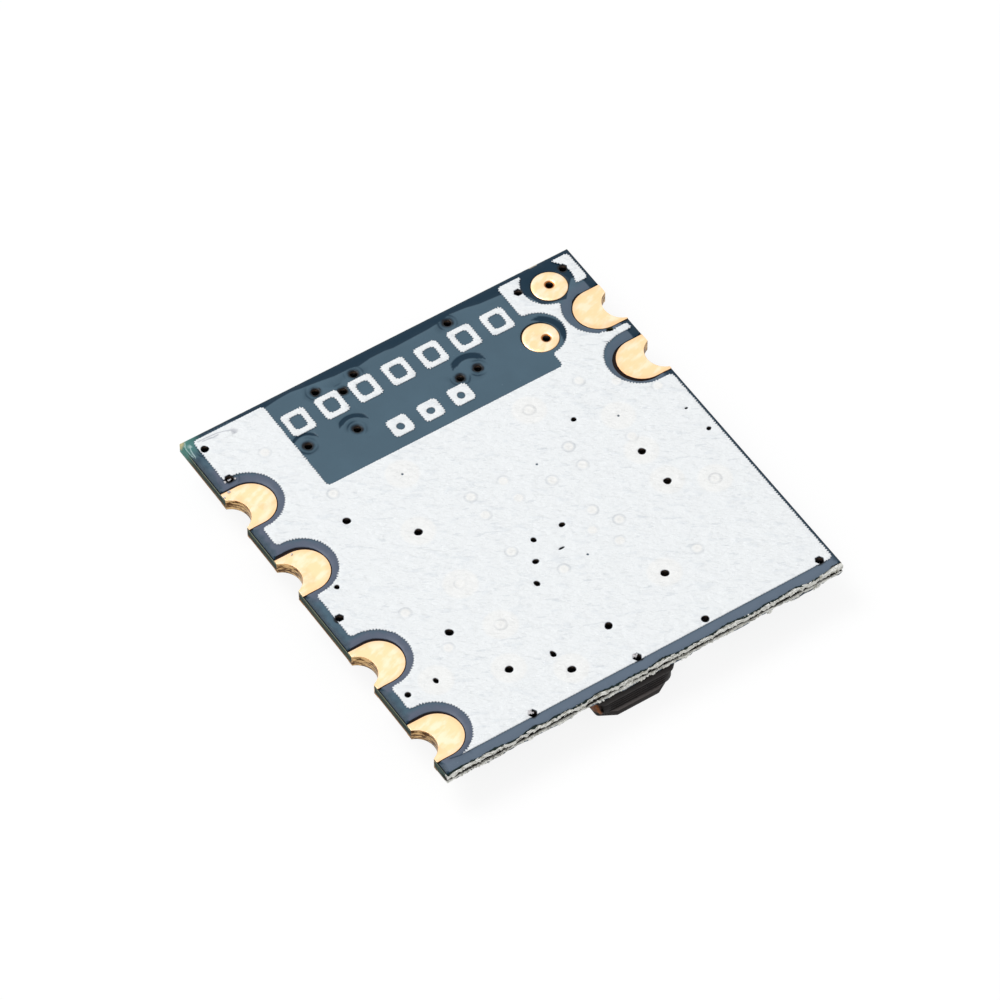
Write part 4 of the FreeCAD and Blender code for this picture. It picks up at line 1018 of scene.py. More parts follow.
def drilled(outline: Outline) -> bool:
    """Whether an outline is that of a small drilled hole."""
    return -DRILL_AREA < signed_area(outline) < 0


def circle(centre: Point, radius: float, count: int, hole: bool) -> Outline:
    """Round outline.

    Args:
        centre: its middle.
        radius: its radius.
        count: number of its points.
        hole: clockwise, as the outline of a hole.

    Returns:
        The outline.
    """
    angles = np.linspace(0, 2 * math.pi, count, endpoint=False) * (-1 if hole else 1)
    return np.column_stack([centre[0] + radius * np.cos(angles), centre[1] + radius * np.sin(angles)])


def densified(outline: Outline, step: float) -> Outline:
    """Outline with points no further apart than a step.

    Args:
        outline: closed outline.
        step: largest distance between its points.

    Returns:
        The outline with further points.
    """
    rows = []
    for start, end in zip(outline, np.roll(outline, -1, axis=0)):
        count = max(1, math.ceil(np.linalg.norm(end - start) / step))
        rows += [start + (end - start) * k / count for k in range(count)]
    return np.array(rows)


def left_normals(outline: Outline) -> Rows:
    """Unit normals to the left of an outline, which is into the solid.

    Args:
        outline: closed outline.

    Returns:
        One normal for each point.
    """
    along = np.roll(outline, -1, axis=0) - np.roll(outline, 1, axis=0)
    normals = np.column_stack([-along[:, 1], along[:, 0]])
    return normals / np.maximum(np.linalg.norm(normals, axis=1, keepdims=True), 1e-9)


def wavering(points: Rows, scale: float, seed: float) -> Rows:
    """Smooth noise from -1 to 1 at each point, with a number of lumps per millimetre."""
    return np.array([noise.noise(Vector((x * scale, y * scale, seed))) for x, y in points])


def round_drills(outlines: list[Outline], radius: float, count: int) -> list[Outline]:
    """Put true circles in place of the small many-sided drill outlines."""
    return [circle(tuple(o.mean(axis=0)), radius, count, True) if drilled(o) else o for o in outlines]


@dataclass
class Sheet:
    """Thin layer between a flat face and a worked face with relief.

    Attributes:
        outlines: closed outlines with the solid on their left.
        base: level of the flat face.
        worked: level of the worked face at each point.
        side: which way the worked face looks.
        spacing: distance between the points inside.
        extra: further points inside, where the relief needs them.
        rim: width of the rounded rim.
        rim_drop: how far the rim falls from the worked face.
        wall_rows: rows of faces in the wall.
        wall_shape: shift of a wall point, given its place and its share of the height.
        marks: named factors for the finish, each a function of the points.
        rim_marks: least value of a mark at the rim, where it has one.
        foot: places of the flat face's points, where it isn't flat.
    """

    outlines: list[Outline]
    base: float
    worked: Callable[[Rows], Rows]
    side: Side = Side.UP
    spacing: float = 0.14
    extra: list[Rows] = field(default_factory=list)
    rim: float = 0.02
    rim_drop: float = 0.01
    wall_rows: int = 1
    wall_shape: Callable[[Rows, float], Rows] | None = None
    marks: dict[str, Callable[[Rows], Rows]] = field(default_factory=dict)
    rim_marks: dict[str, float] = field(default_factory=dict)
    foot: Callable[[Rows], Rows] | None = None

    def inner_points(self, edge: Rows) -> Rows:
        """Points inside the sheet: a shifted grid, the rim row and the extra ones.

        Args:
            edge: all outline points.

        Returns:
            The points, none of them too close to the outlines or to one another.
        """
        low, high = edge.min(axis=0), edge.max(axis=0)
        columns = np.arange(low[0], high[0], self.spacing)
        rows = np.arange(low[1], high[1], self.spacing * 0.866)
        grid = np.array([(x + (self.spacing / 2) * (k % 2), y)
                         for k, y in enumerate(rows) for x in columns])
        rim = [outline + self.rim * left_normals(outline) for outline in self.outlines]
        kept: list[Rows] = []
        for candidates, gap in [(np.vstack(rim), self.rim * 0.6), *((e, 0.02) for e in self.extra),
                                (grid, self.spacing * 0.45)]:
            stops = np.vstack([edge, *kept])
            tree = KDTree(len(stops))
            for number, (x, y) in enumerate(stops):
                tree.insert((x, y, 0.0), number)
            tree.balance()
            far = [p for p in candidates if tree.find((p[0], p[1], 0.0))[2] > gap]
            if far:
                kept.append(np.array(far))
        return np.vstack(kept)

    def triangles(self, edge: Rows, inner: Rows) -> tuple[Rows, list[tuple[int, ...]]]:
        """Fill the outlines.

        Args:
            edge: all outline points, outline after outline.
            inner: points inside.

        Returns:
            The points and the anticlockwise triangles of the solid.
        """
        links = []
        start = 0
        for outline in self.outlines:
            count = len(outline)
            links += [(start + k, start + (k + 1) % count) for k in range(count)]
            start += count
        places = [Vector(p) for p in np.vstack([edge, inner]).tolist()]
        verts, edges, faces, _, old_edges, _ = delaunay_2d_cdt(places, links, [], 0, 1e-6)
        barriers = {tuple(sorted(e)) for e, old in zip(edges, old_edges) if old}
        beside: dict[tuple[int, int], list[int]] = defaultdict(list)
        for number, face in enumerate(faces):
            for k in range(3):
                beside[tuple(sorted((face[k], face[(k + 1) % 3])))].append(number)
        solid: dict[int, bool] = {}
        queue: deque[int] = deque()
        for link, owners in beside.items():
            if len(owners) == 1 and owners[0] not in solid:
                solid[owners[0]] = link in barriers
                queue.append(owners[0])
        while queue:
            number = queue.popleft()
            face = faces[number]
            for k in range(3):
                link = tuple(sorted((face[k], face[(k + 1) % 3])))
                for other in beside[link]:
                    if other not in solid:
                        solid[other] = solid[number] != (link in barriers)
                        queue.append(other)
        kept = []
        for number, face in enumerate(faces):
            if solid[number]:
                a, b, c = (verts[i] for i in face)
                turn = (b - a).cross(c - a)
                kept.append(tuple(face) if turn > 0 else tuple(reversed(face)))
        return np.array([tuple(v) for v in verts]), kept

    def build(self, name: str) -> Piece:
        """Make the closed mesh.

        Args:
            name: name of the piece.

        Returns:
            The new object, with its marks as attributes.
        """
        edge = np.vstack(self.outlines)
        flat, faces = self.triangles(edge, self.inner_points(edge))
        used = sorted({i for face in faces for i in face})
        renumber = {old: new for new, old in enumerate(used)}
        faces = [tuple(renumber[i] for i in face) for face in faces]
        flat = flat[used]
        count = len(flat)
        directed = {(f[k], f[(k + 1) % 3]) for f in faces for k in range(3)}
        border = [link for link in directed if (link[1], link[0]) not in directed]
        rim = sorted({i for link in border for i in link})
        on_rim = np.zeros(count)
        on_rim[rim] = 1.0
        top = self.worked(flat) - self.side.value * self.rim_drop * on_rim
        foot = self.foot(flat) if self.foot else np.column_stack([flat, np.full(count, self.base)])
        points = [np.column_stack([flat, top]), foot]
        shell = [*faces, *(tuple(i + count for i in reversed(f)) for f in faces)]
        rows = [list(range(count))]
        for row in range(1, self.wall_rows):
            share = row / self.wall_rows
            places = flat[rim] + self.wall_shape(flat[rim], share)
            numbers = list(range(count))
            for number, vertex in enumerate(rim, sum(len(p) for p in points)):
                numbers[vertex] = number
            points.append(np.column_stack([places, top[rim] * (1 - share) + foot[rim, 2] * share]))
            rows.append(numbers)
        rows.append(list(range(count, 2 * count)))
        for upper, lower in zip(rows, rows[1:]):
            shell += [(lower[a], lower[b], upper[b], upper[a]) for a, b in border]
        if self.side is Side.DOWN:
            shell = [tuple(reversed(f)) for f in shell]
        piece = mesh_piece(name, np.vstack(points), shell)
        for label, mark in self.marks.items():
            values = np.zeros(len(piece.data.vertices), np.float32)
            values[:count] = np.maximum(mark(flat), self.rim_marks.get(label, 0.0) * on_rim)
            values[count:2 * count] = values[:count]
            piece.data.attributes.new(label, "FLOAT", "POINT").data.foreach_set("value", values)
        return piece


def run_of_points(line: Sequence[Point], count: int) -> Rows:
    """Close points along a line.

    Args:
        line: a few places along it.
        count: number of points.

    Returns:
        The points.
    """
    places = np.array(line)
    share = np.linspace(0, len(line) - 1, count)
    return np.column_stack([np.interp(share, range(len(line)), places[:, k]) for k in (0, 1)])


def rings_round(places: Sequence[Point], radii: Sequence[float], step: float) -> list[Rows]:
    """Points on circles round each place, to carry a fine relief.

    Args:
        places: middles of the circles.
        radii: radii of the circles round each place.
        step: distance between points.

    Returns:
        The points of each circle.
    """
    return [circle(place, radius, max(8, math.ceil(2 * math.pi * radius / step)), False)
            for place in places for radius in radii]


def gaps_to(points: Rows, places: Sequence[Point] | Rows) -> Rows:
    """Distance from each point to the nearest place."""
    spots = np.array(places)
    return np.min(np.linalg.norm(points[:, None, :] - spots[None, :, :], axis=2), axis=1)


def smooth_step(value: Rows, low: float, high: float) -> Rows:
    """Ease from 0 at low to 1 at high."""
    share = np.clip((value - low) / (high - low), 0, 1)
    return share * share * (3 - 2 * share)


def lobe_distance(points: Rows) -> Rows:
    """Distance outwards from the nearest contact pad's lobed edge.

    Args:
        points: places on the board.

    Returns:
        One distance for each point, negative on a pad.
    """
    best = np.full(len(points), 1e9)
    for x, y in CONTACTS.values():
        centre = x - math.copysign(PAD_REACH, x)
        across = np.where(np.abs(points[:, 0]) > abs(centre), 0.0, points[:, 0] - centre)
        best = np.minimum(best, np.hypot(across, points[:, 1] - y) - PAD_RADIUS)
    return best


@dataclass(frozen=True)
class Scratches:
    """Fine scratches in a face.

    Attributes:
        lines: a few places along each scratch.
        count: number of close points that stand for it.
        core: half width up to which it shows in full.
        fade: half width at which it ends.
        weight: strength of its colour.
        beside: step to the points that carry its relief on either side.
    """

    lines: tuple[tuple[Point, ...], ...]
    count: int
    core: float
    fade: float
    weight: float
    beside: Point

    def runs(self) -> list[Rows]:
        """Close points along each scratch."""
        return [run_of_points(line, self.count) for line in self.lines]

    def share(self, points: Rows) -> Rows:
        """Strength of the scratches at each point."""
        gaps = np.min([gaps_to(points, run) for run in self.runs()], axis=0)
        return self.weight * (1 - smooth_step(gaps, self.core, self.fade))

    def relief_points(self) -> list[Rows]:
        """Points on and beside each scratch."""
        return [run + k * np.array(self.beside) for run in self.runs() for k in (0, 1, -1)]


PALE_STREAKS = Scratches((
    ((-5.98, 6.38), (-6.045, 6.25), (-6.065, 6.12), (-6.055, 6.0), (-6.045, 5.86)),
    ((-5.90, 6.2), (-5.955, 6.14), (-5.985, 6.05), (-5.995, 5.94), (-5.995, 5.82)),
), 40, 0.004, 0.02, 0.7, (0.022, 0.0))
GREY_SCUFFS = Scratches((
    ((-5.65, 6.2), (-5.42, 6.2), (-5.13, 6.18), (-4.92, 6.13), (-4.76, 6.06), (-4.69, 5.92)),
    ((-5.57, 6.15), (-5.41, 6.13), (-5.27, 6.11), (-5.12, 6.11)),
), 60, 0.008, 0.03, 0.6, (0.0, 0.03))


# The board and its lacquers


@dataclass
class BoardPlies:
    """Glass laminate as an upper and a lower ply, torn apart along the front."""

    step: float = 0.03
    ragged: float = 0.045
    split_level: float = 1.135
    split_half: float = 0.027
    split_depth: float = 0.16
    front: float = -6.448
    drill: float = 0.122

    def torn(self, outline: Outline, seed: float) -> Outline:
        """Give the front of an outline its fine ragged line.

        Args:
            outline: closed outline of one face of the board.
            seed: place in the noise, another one for each ply.

        Returns:
            The outline with its front torn.
        """
        dense = densified(outline, self.step)
        front = smooth_step(-dense[:, 1], 6.1, 6.35)
        shift = 0.6 * wavering(dense, 4.0, seed) + 0.9 * wavering(dense, 15.0, seed + 3.0)
        dense[:, 1] += front * self.ragged * shift
        dense[:, 1] = np.maximum(dense[:, 1], self.front)
        return dense

    def wall(self, seed: float, places: Rows, share: float) -> Rows:
        """Shape of the torn wall.

        Args:
            seed: place in the noise, another one for each ply.
            places: places of the wall's points.
            share: how far down the wall they stand, from 0 to 1.

        Returns:
            The shift of each point.
        """
        front = smooth_step(-places[:, 1], 6.1, 6.35)
        coarse = 0.05 * wavering(places, 5.0, seed + 3 * share)
        rough = coarse + 0.045 * wavering(places, 16.0, seed + 7 * share)
        inward = front * np.maximum(rough, self.front - places[:, 1])
        return np.column_stack([np.zeros(len(places)), inward])

    def split(self, side: Side, flat: Rows) -> Rows:
        """Inner face of a ply, which opens into the split along the front.

        Args:
            side: which ply it is.
            flat: places on the board.

        Returns:
            The places of the inner face's points.
        """
        line = np.column_stack([flat[:, 0], np.zeros(len(flat))])
        near = 1 - smooth_step(flat[:, 1], -6.45, -6.05)
        drift = 0.028 * wavering(line, 0.9, 31.0) + 0.01 * wavering(line, 4.0, 33.0)
        half = np.maximum(self.split_half * (1 + 1.5 * wavering(line, 1.7, 37.0)), 0.003)
        level = self.split_level + near * (drift + side.value * half)
        return np.column_stack([flat[:, 0], flat[:, 1] + self.split_depth * near, level])

    def build(self) -> None:
        """Make both plies."""
        low, high = (corner.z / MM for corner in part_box("board_laminate"))
        for name, level, side, seed in (("upper_ply", high, Side.UP, 1.7),
                                        ("lower_ply", low, Side.DOWN, 6.1)):
            outlines = round_drills(node_outlines("board_laminate", level, side), self.drill, 14)
            outlines = [self.torn(o, seed) if signed_area(o) > 0 else o for o in outlines]
            sheet = Sheet(outlines, self.split_level, lambda p, level=level: np.full(len(p), level),
                          side, 0.6, rim_drop=0.004, wall_rows=6, wall_shape=partial(self.wall, seed),
                          foot=partial(self.split, side))
            hand_over(sheet.build(name), "glass_laminate", LAMINATE, "board_laminate")


@dataclass
class TornFibres:
    """Glass fibres and resin crumbs that stand out of the broken front edge."""

    half_width: float = 6.02
    front: float = -6.40
    low: float = 1.03
    high: float = 1.32
    fibre_count: float = 560.0
    crumb_count: float = 300.0
    crack_low: float = 1.07
    crack_high: float = 1.215
    seed: int = 7

    def strip(self, name: str, low: float, high: float, seed: float) -> Piece:
        """Narrow ragged strip along the torn edge that the pattern scatters over.

        Args:
            name: name of the strip.
            low: level of its lower side.
            high: level of its upper side.
            seed: place in the noise.

        Returns:
            The strip.
        """
        xs = np.linspace(-self.half_width, self.half_width, 121)
        line = np.column_stack([xs, np.zeros(len(xs))])
        ys = self.front + 0.03 * wavering(line, 2.5, seed)
        points = [(x, y, z) for z in (low, high) for x, y in zip(xs, ys)]
        count = len(xs)
        faces = [(k, k + 1, count + k + 1, count + k) for k in range(count - 1)]
        return mesh_piece(name, np.array(points), faces)

    def tree(self, name: str, crumbs: bool) -> PatternTree:
        """Pattern that scatters fibres or crumbs over a strip.

        Args:
            name: name of the tree.
            crumbs: lumps where true, thin rods where false.

        Returns:
            The tree.
        """
        tree = PatternTree(name)
        density, thickness, length = (tree.ask(label) for label in ("Density", "Thickness", "Length"))
        seed = tree.ask("Seed", "NodeSocketInt")
        spots = tree.put("GeometryNodeDistributePointsOnFaces",
                         {"Mesh": tree.start.outputs[0], "Density": density, "Seed": seed})
        if crumbs:
            grain = tree.put("GeometryNodeMeshIcoSphere", {"Radius": thickness, "Subdivisions": 1})
            turns = (0.0, 0.0, 0.0), FULL_TURN
            sizes = (0.5, 0.35, 0.3), (2.0, 0.9, 1.1)
        else:
            wired = {"Vertices": 5, "Radius": thickness, "Depth": length}
            grain = tree.put("GeometryNodeMeshCylinder", wired)
            turns = (-0.2, 1.4, -0.35), (0.2, 1.75, 0.35)
            sizes = (0.6, 0.6, 0.35), (1.4, 1.4, 1.3)
        tree.close(tree.copies(spots.outputs["Points"], grain.outputs[0],
                               Rotation=tree.drawn(*turns, seed), Scale=tree.drawn(*sizes, seed)))
        return tree

    def build(self) -> None:
        """Make the fibres of both plies and the crumbs."""
        fibres = self.tree("fibre_scatter", False)
        crumbs = self.tree("crumb_scatter", True)
        for layer, low, high, share in (("upper", self.crack_high, self.high, 0.66),
                                        ("lower", self.low, self.crack_low, 0.34)):
            area = 2 * self.half_width * (high - low) * MM * MM
            for kind, tree, count, thickness in (("fibres", fibres, self.fibre_count, 0.011),
                                                 ("crumbs", crumbs, self.crumb_count, 0.026)):
                name = f"{layer}_{kind}"
                values = {"Density": count * share / area, "Thickness": thickness * MM,
                          "Length": 0.26 * MM, "Seed": self.seed, "Finish": FIBRE.material()}
                piece = tree.grow(name, self.strip(name + "_seed", low, high, share), values)
                hand_over(self.held(piece), "glass_laminate", None)
        self.clumps()

    def clumps(self) -> None:
        """Make the clumps of torn glass along the front and the crumbs of ink at vias and contacts."""
        tree = PatternTree("crumb_at_each_point")
        size, rough = tree.ask("Size"), tree.ask("Roughness")
        seed = tree.ask("Seed", "NodeSocketInt")
        grain = tree.put("GeometryNodeMeshIcoSphere", {"Radius": size, "Subdivisions": 2}).outputs[0]
        placed = tree.copies(tree.start.outputs[0], grain,
                             Rotation=tree.drawn((0.0, 0.0, 0.0), FULL_TURN, seed),
                             Scale=tree.drawn((0.5, 0.35, 0.4), (1.5, 0.9, 1.1), seed))
        real = tree.put("GeometryNodeRealizeInstances", {"Geometry": placed}).outputs[0]
        place = tree.put("GeometryNodeInputPosition").outputs[0]
        lumps = tree.put("ShaderNodeTexNoise", {"Vector": place, "Scale": 32 / MM, "Detail": 2.0})
        centred = tree.put("ShaderNodeVectorMath", {0: lumps.outputs["Color"], 1: (0.5, 0.5, 0.5)},
                           operation="SUBTRACT").outputs[0]
        push = tree.put("ShaderNodeVectorMath", {0: centred, 3: rough}, operation="SCALE").outputs[0]
        tree.close(tree.put("GeometryNodeSetPosition", {"Geometry": real, "Offset": push}).outputs[0])
        for name, spots, size_mm, lump, finish, slot in (
            ("torn_clumps", CLUMPS, 0.042, 0.06, FIBRE, "glass_laminate"),
            ("ink_crumbs", INK_CRUMBS, 0.03, 0.02, CRUMB, "white_print"),
        ):
            draw = np.random.default_rng(self.seed)
            points = np.vstack([np.array(middle) + draw.normal(0.0, 0.5, (count, 3)) * reach
                                for middle, reach, count in spots])
            values = {"Size": size_mm * MM, "Roughness": lump * MM, "Seed": self.seed,
                      "Finish": finish.material()}
            piece = tree.grow(name, seed_points(name + "_points", points.tolist()), values)
            hand_over(self.held(piece, CAD_BOX[1].z), slot, None)

    def held(self, piece: Piece, top: float = FIBRE_TOP * MM) -> Piece:
        """Keep loose fibres and crumbs within the board's own reach.

        Args:
            piece: the loose piece.
            top: highest level, in metres.

        Returns:
            The same piece.
        """
        low, high = CAD_BOX[0], CAD_BOX[1]
        for vertex in piece.data.vertices:
            vertex.co.x = min(max(vertex.co.x, low.x), high.x)
            vertex.co.y = max(vertex.co.y, low.y)
            vertex.co.z = min(vertex.co.z, top)
        return piece


@dataclass
class BackMask:
    """Blue lacquer on the back, a little higher over copper than over bare laminate.

    Attributes:
        via_places: middles of the open vias.
        step_down: how much lower it lies over bare laminate.
        top: highest level of its face.
        base: level of the laminate below.
        drill: radius of its openings over vias.
        close_gap: how much nearer it comes to the gold opposite a wide gap.
        wide_gaps: middle of a pad, direction of its widest gap in degrees, and how much wider it is.
    """

    via_places: list[Point]
    step_down: float = 0.012
    top: float = MASK_TOP
    base: float = 1.33
    drill: float = 0.106
    close_gap: float = 0.028
    wide_gaps: tuple[tuple[Point, float, float], ...] = (
        ((-5.63, 3.70), 80.0, 0.0), ((-5.63, 1.08), 105.0, 0.06), ((-5.63, -2.47), 80.0, 0.035),
        ((-5.63, -5.24), 95.0, 0.035), ((5.63, 4.22), 160.0, -0.02), ((5.63, 2.16), 190.0, 0.065),
        ((3.79, 4.24), 110.0, 0.0), ((4.97, 5.60), 200.0, -0.02),
    )

    def undercut(self, dense: Outline) -> Outline:
        """Widen the openings where the lacquer stands further back from the gold.

        Args:
            dense: outline of the lacquer, in close points.

        Returns:
            The outline with its new gaps.
        """
        widened = dense.copy()
        inside = smooth_step(6.08 - np.abs(dense[:, 0]), 0.0, 0.12)
        for (x, y), direction, extra in self.wide_gaps:
            away = dense - (x, y)
            reach = np.hypot(away[:, 0], away[:, 1])
            near = (reach < PAD_RADIUS + 0.14) * inside
            angle = np.arctan2(away[:, 1], away[:, 0]) - math.radians(direction)
            share = (extra + self.close_gap) * np.clip(np.cos(angle), 0, 1) - self.close_gap
            widened += (share * near)[:, None] * away / reach[:, None]
        return widened

    def copper_edge(self, points: Rows) -> Rows:
        """Signed distance into the copper from its back and right borders.

        Args:
            points: places on the board.

        Returns:
            One distance for each point.
        """
        line = np.array(COPPER_BACK_LINE)
        back = np.interp(points[:, 0], line[:, 0], line[:, 1]) - points[:, 1]
        right = np.where(points[:, 1] > 1.3, COPPER_RIGHT - points[:, 0], 6.0 - points[:, 0])
        left = points[:, 0] + 6.0
        return np.minimum(np.minimum(back, right), left)

    def bare(self, points: Rows) -> Rows:
        """Share of bare laminate under the lacquer, with crescents of painted shade.

        Args:
            points: places on the board.

        Returns:
            Values from 0 over copper to 1 over laminate.
        """
        share = 1 - smooth_step(self.copper_edge(points), -0.015, 0.015)
        # Crescents: painted shade on one side of a shallow moat, tinted as bare laminate.
        for (x, y), radius, width, turn in SHADE_CRESCENTS:
            away = points - (x, y)
            angle = np.degrees(np.arctan2(away[:, 1], away[:, 0])) - turn
            reach = smooth_step(angle, 12, 45) * (1 - smooth_step(angle, 120, 150))
            band = np.abs(np.hypot(away[:, 0], away[:, 1]) - radius)
            inside = 1 - smooth_step(band, width * reach - 0.015, width * reach + 0.02)
            share = np.maximum(share, inside * (reach > 0.05))
        groove = gaps_to(points, run_of_points(COPPER_GROOVE, 60))
        share = np.maximum(share, 0.95 * (1 - smooth_step(groove, 0.012, 0.032)))
        gap = gaps_to(points, self.via_places) + 0.02 * wavering(points, 6.0, 47.0)
        patchy = np.clip(0.35 + 2.0 * wavering(points, 2.2, 44.0), 0.0, 0.95)
        ring = patchy * np.exp(-((gap - 0.26) / 0.035) ** 2)
        halo = np.maximum(ring, (0.4 + 0.6 * patchy) * (1 - smooth_step(gap, 0.15, 0.23)))
        return np.maximum(share, halo * (points[:, 1] > 3.5))

    def pit_shade(self, points: Rows) -> Rows:
        """Share of black painted shade where the lacquer sinks into an open via."""
        uneven = gaps_to(points, self.via_places) + 0.035 * wavering(points, 8.0, 46.0)
        return 1 - smooth_step(uneven, 0.135, 0.17)

    def torn_back(self, points: Rows) -> Rows:
        """How far the lacquer's torn front stands behind the board's, in millimetres.

        Args:
            points: places on the board.

        Returns:
            One distance for each point.
        """
        bites = np.maximum(wavering(points, 2.2, 51.0), 0) + np.abs(wavering(points, 9.0, 52.0))
        corners = 2 * smooth_step(points[:, 0], 5.6, 5.9) + smooth_step(-points[:, 0], 5.6, 5.9)
        return 0.018 + 0.05 * bites + 0.03 * corners

    def ring(self, points: Rows) -> Rows:
        """Share of the raised ring round the contacts, weaker on the right.

        Args:
            points: places on the board.

        Returns:
            Values from 0 to 1.
        """
        side = np.where(points[:, 0] < 0, 1.0, 0.55)
        share = (1 - smooth_step(lobe_distance(points), 0.26, 0.34)) * side
        return share * smooth_step(6.05 - np.abs(points[:, 0]), 0.0, 0.1)

    def worked(self, points: Rows) -> Rows:
        """Level of the lacquer's face.

        Args:
            points: places on the board.

        Returns:
            One level for each point.
        """
        ridge = np.exp(-((lobe_distance(points) - 0.13) / 0.06) ** 2)
        dip = np.exp(-(gaps_to(points, self.via_places) / 0.17) ** 2)
        lower = self.step_down * self.bare(points)
        wave = 0.0008 * wavering(points, 1.3, 4.0)
        worn = 0.014 * (1 - smooth_step(np.hypot(points[:, 0] + 6.1, points[:, 1] - 6.45), 0.05, 0.3))
        level = self.top - 0.004 - lower + 0.003 * ridge - 0.016 * dip + wave - worn
        return np.minimum(level + 0.003 * PALE_STREAKS.share(points), self.top)

    def build(self) -> None:
        """Make the lacquer."""
        outlines = []
        for outline in round_drills(node_outlines("solder_mask_back", self.top, Side.UP), self.drill, 18):
            if not drilled(outline):
                dense = self.undercut(densified(outline, 0.05))
                front = smooth_step(-dense[:, 1], 5.9, 6.4)
                outline = dense + 0.006 * wavering(dense, 9.0, 2.0)[:, None] * left_normals(dense)
                outline[:, 1] += front * self.torn_back(outline)
                outline[:, 1] = np.maximum(outline[:, 1], MASK_FRONT)
            outlines.append(outline)
        line = run_of_points(COPPER_BACK_LINE, 420)
        extra = [line + shift for shift in ((0.0, -0.02), (0.0, 0.02), (-0.02, 0.0), (0.02, 0.0))]
        groove = run_of_points(COPPER_GROOVE, 30)
        extra += [groove + (0.0, shift) for shift in (0.0, 0.027, -0.027)]
        rows = np.arange(1.95, 6.1, 0.05)
        extra += [np.column_stack([np.full(len(rows), COPPER_RIGHT + d), rows]) for d in (-0.02, 0.02)]
        for place, radius, width, _ in SHADE_CRESCENTS:
            radii = [radius + k * width / 2 for k in (-2.4, -1.6, -0.8, 0, 0.8, 1.6, 2.4)]
            extra += rings_round([place], radii, 0.04)
        extra += rings_round(self.via_places, (0.13, 0.155, 0.185, 0.22, 0.245, 0.27, 0.3), 0.045)
        extra += PALE_STREAKS.relief_points()
        marks = {"bare": self.bare, "ring": self.ring, "pit_shade": self.pit_shade, "streak": PALE_STREAKS.share}
        sheet = Sheet(outlines, self.base, self.worked, Side.UP, 0.16, extra, 0.016, 0.01, marks=marks)
        hand_over(sheet.build("back_mask"), "solder_mask", MASK, "solder_mask_back")


@dataclass
class FrontMask:
    """Blue lacquer on the component side, opened at every land."""

    top: float = 0.965
    base: float = 1.01

    def build(self) -> None:
        """Make the lacquer."""
        outlines = []
        for outline in node_outlines("solder_mask_front", self.top, Side.DOWN):
            dense = densified(outline, 0.12 if len(outline) < 60 else 0.06)
            front = smooth_step(-dense[:, 1], 6.2, 6.3)
            dense[:, 1] += front * 0.035 * (wavering(dense, 5.0, 9.0) + wavering(dense, 13.0, 4.0))
            dense[:, 1] = np.maximum(dense[:, 1], MASK_FRONT)
            outlines.append(dense)
        sheet = Sheet(outlines, self.base, self.worked, Side.DOWN, 0.3, [], 0.016, 0.008,
                      marks={"bare": self.bare})
        hand_over(sheet.build("front_mask"), "solder_mask", MASK, "solder_mask_front")

    def bare(self, points: Rows) -> Rows:
        """Share of bare laminate under the lacquer, between the copper's areas."""
        return 0.6 * smooth_step(wavering(points, 0.35, 3.0), 0.05, 0.12)

    def worked(self, points: Rows) -> Rows:
        """Level of the lacquer's face."""
        return self.top + 0.004 + 0.002 * wavering(points, 0.9, 8.0)


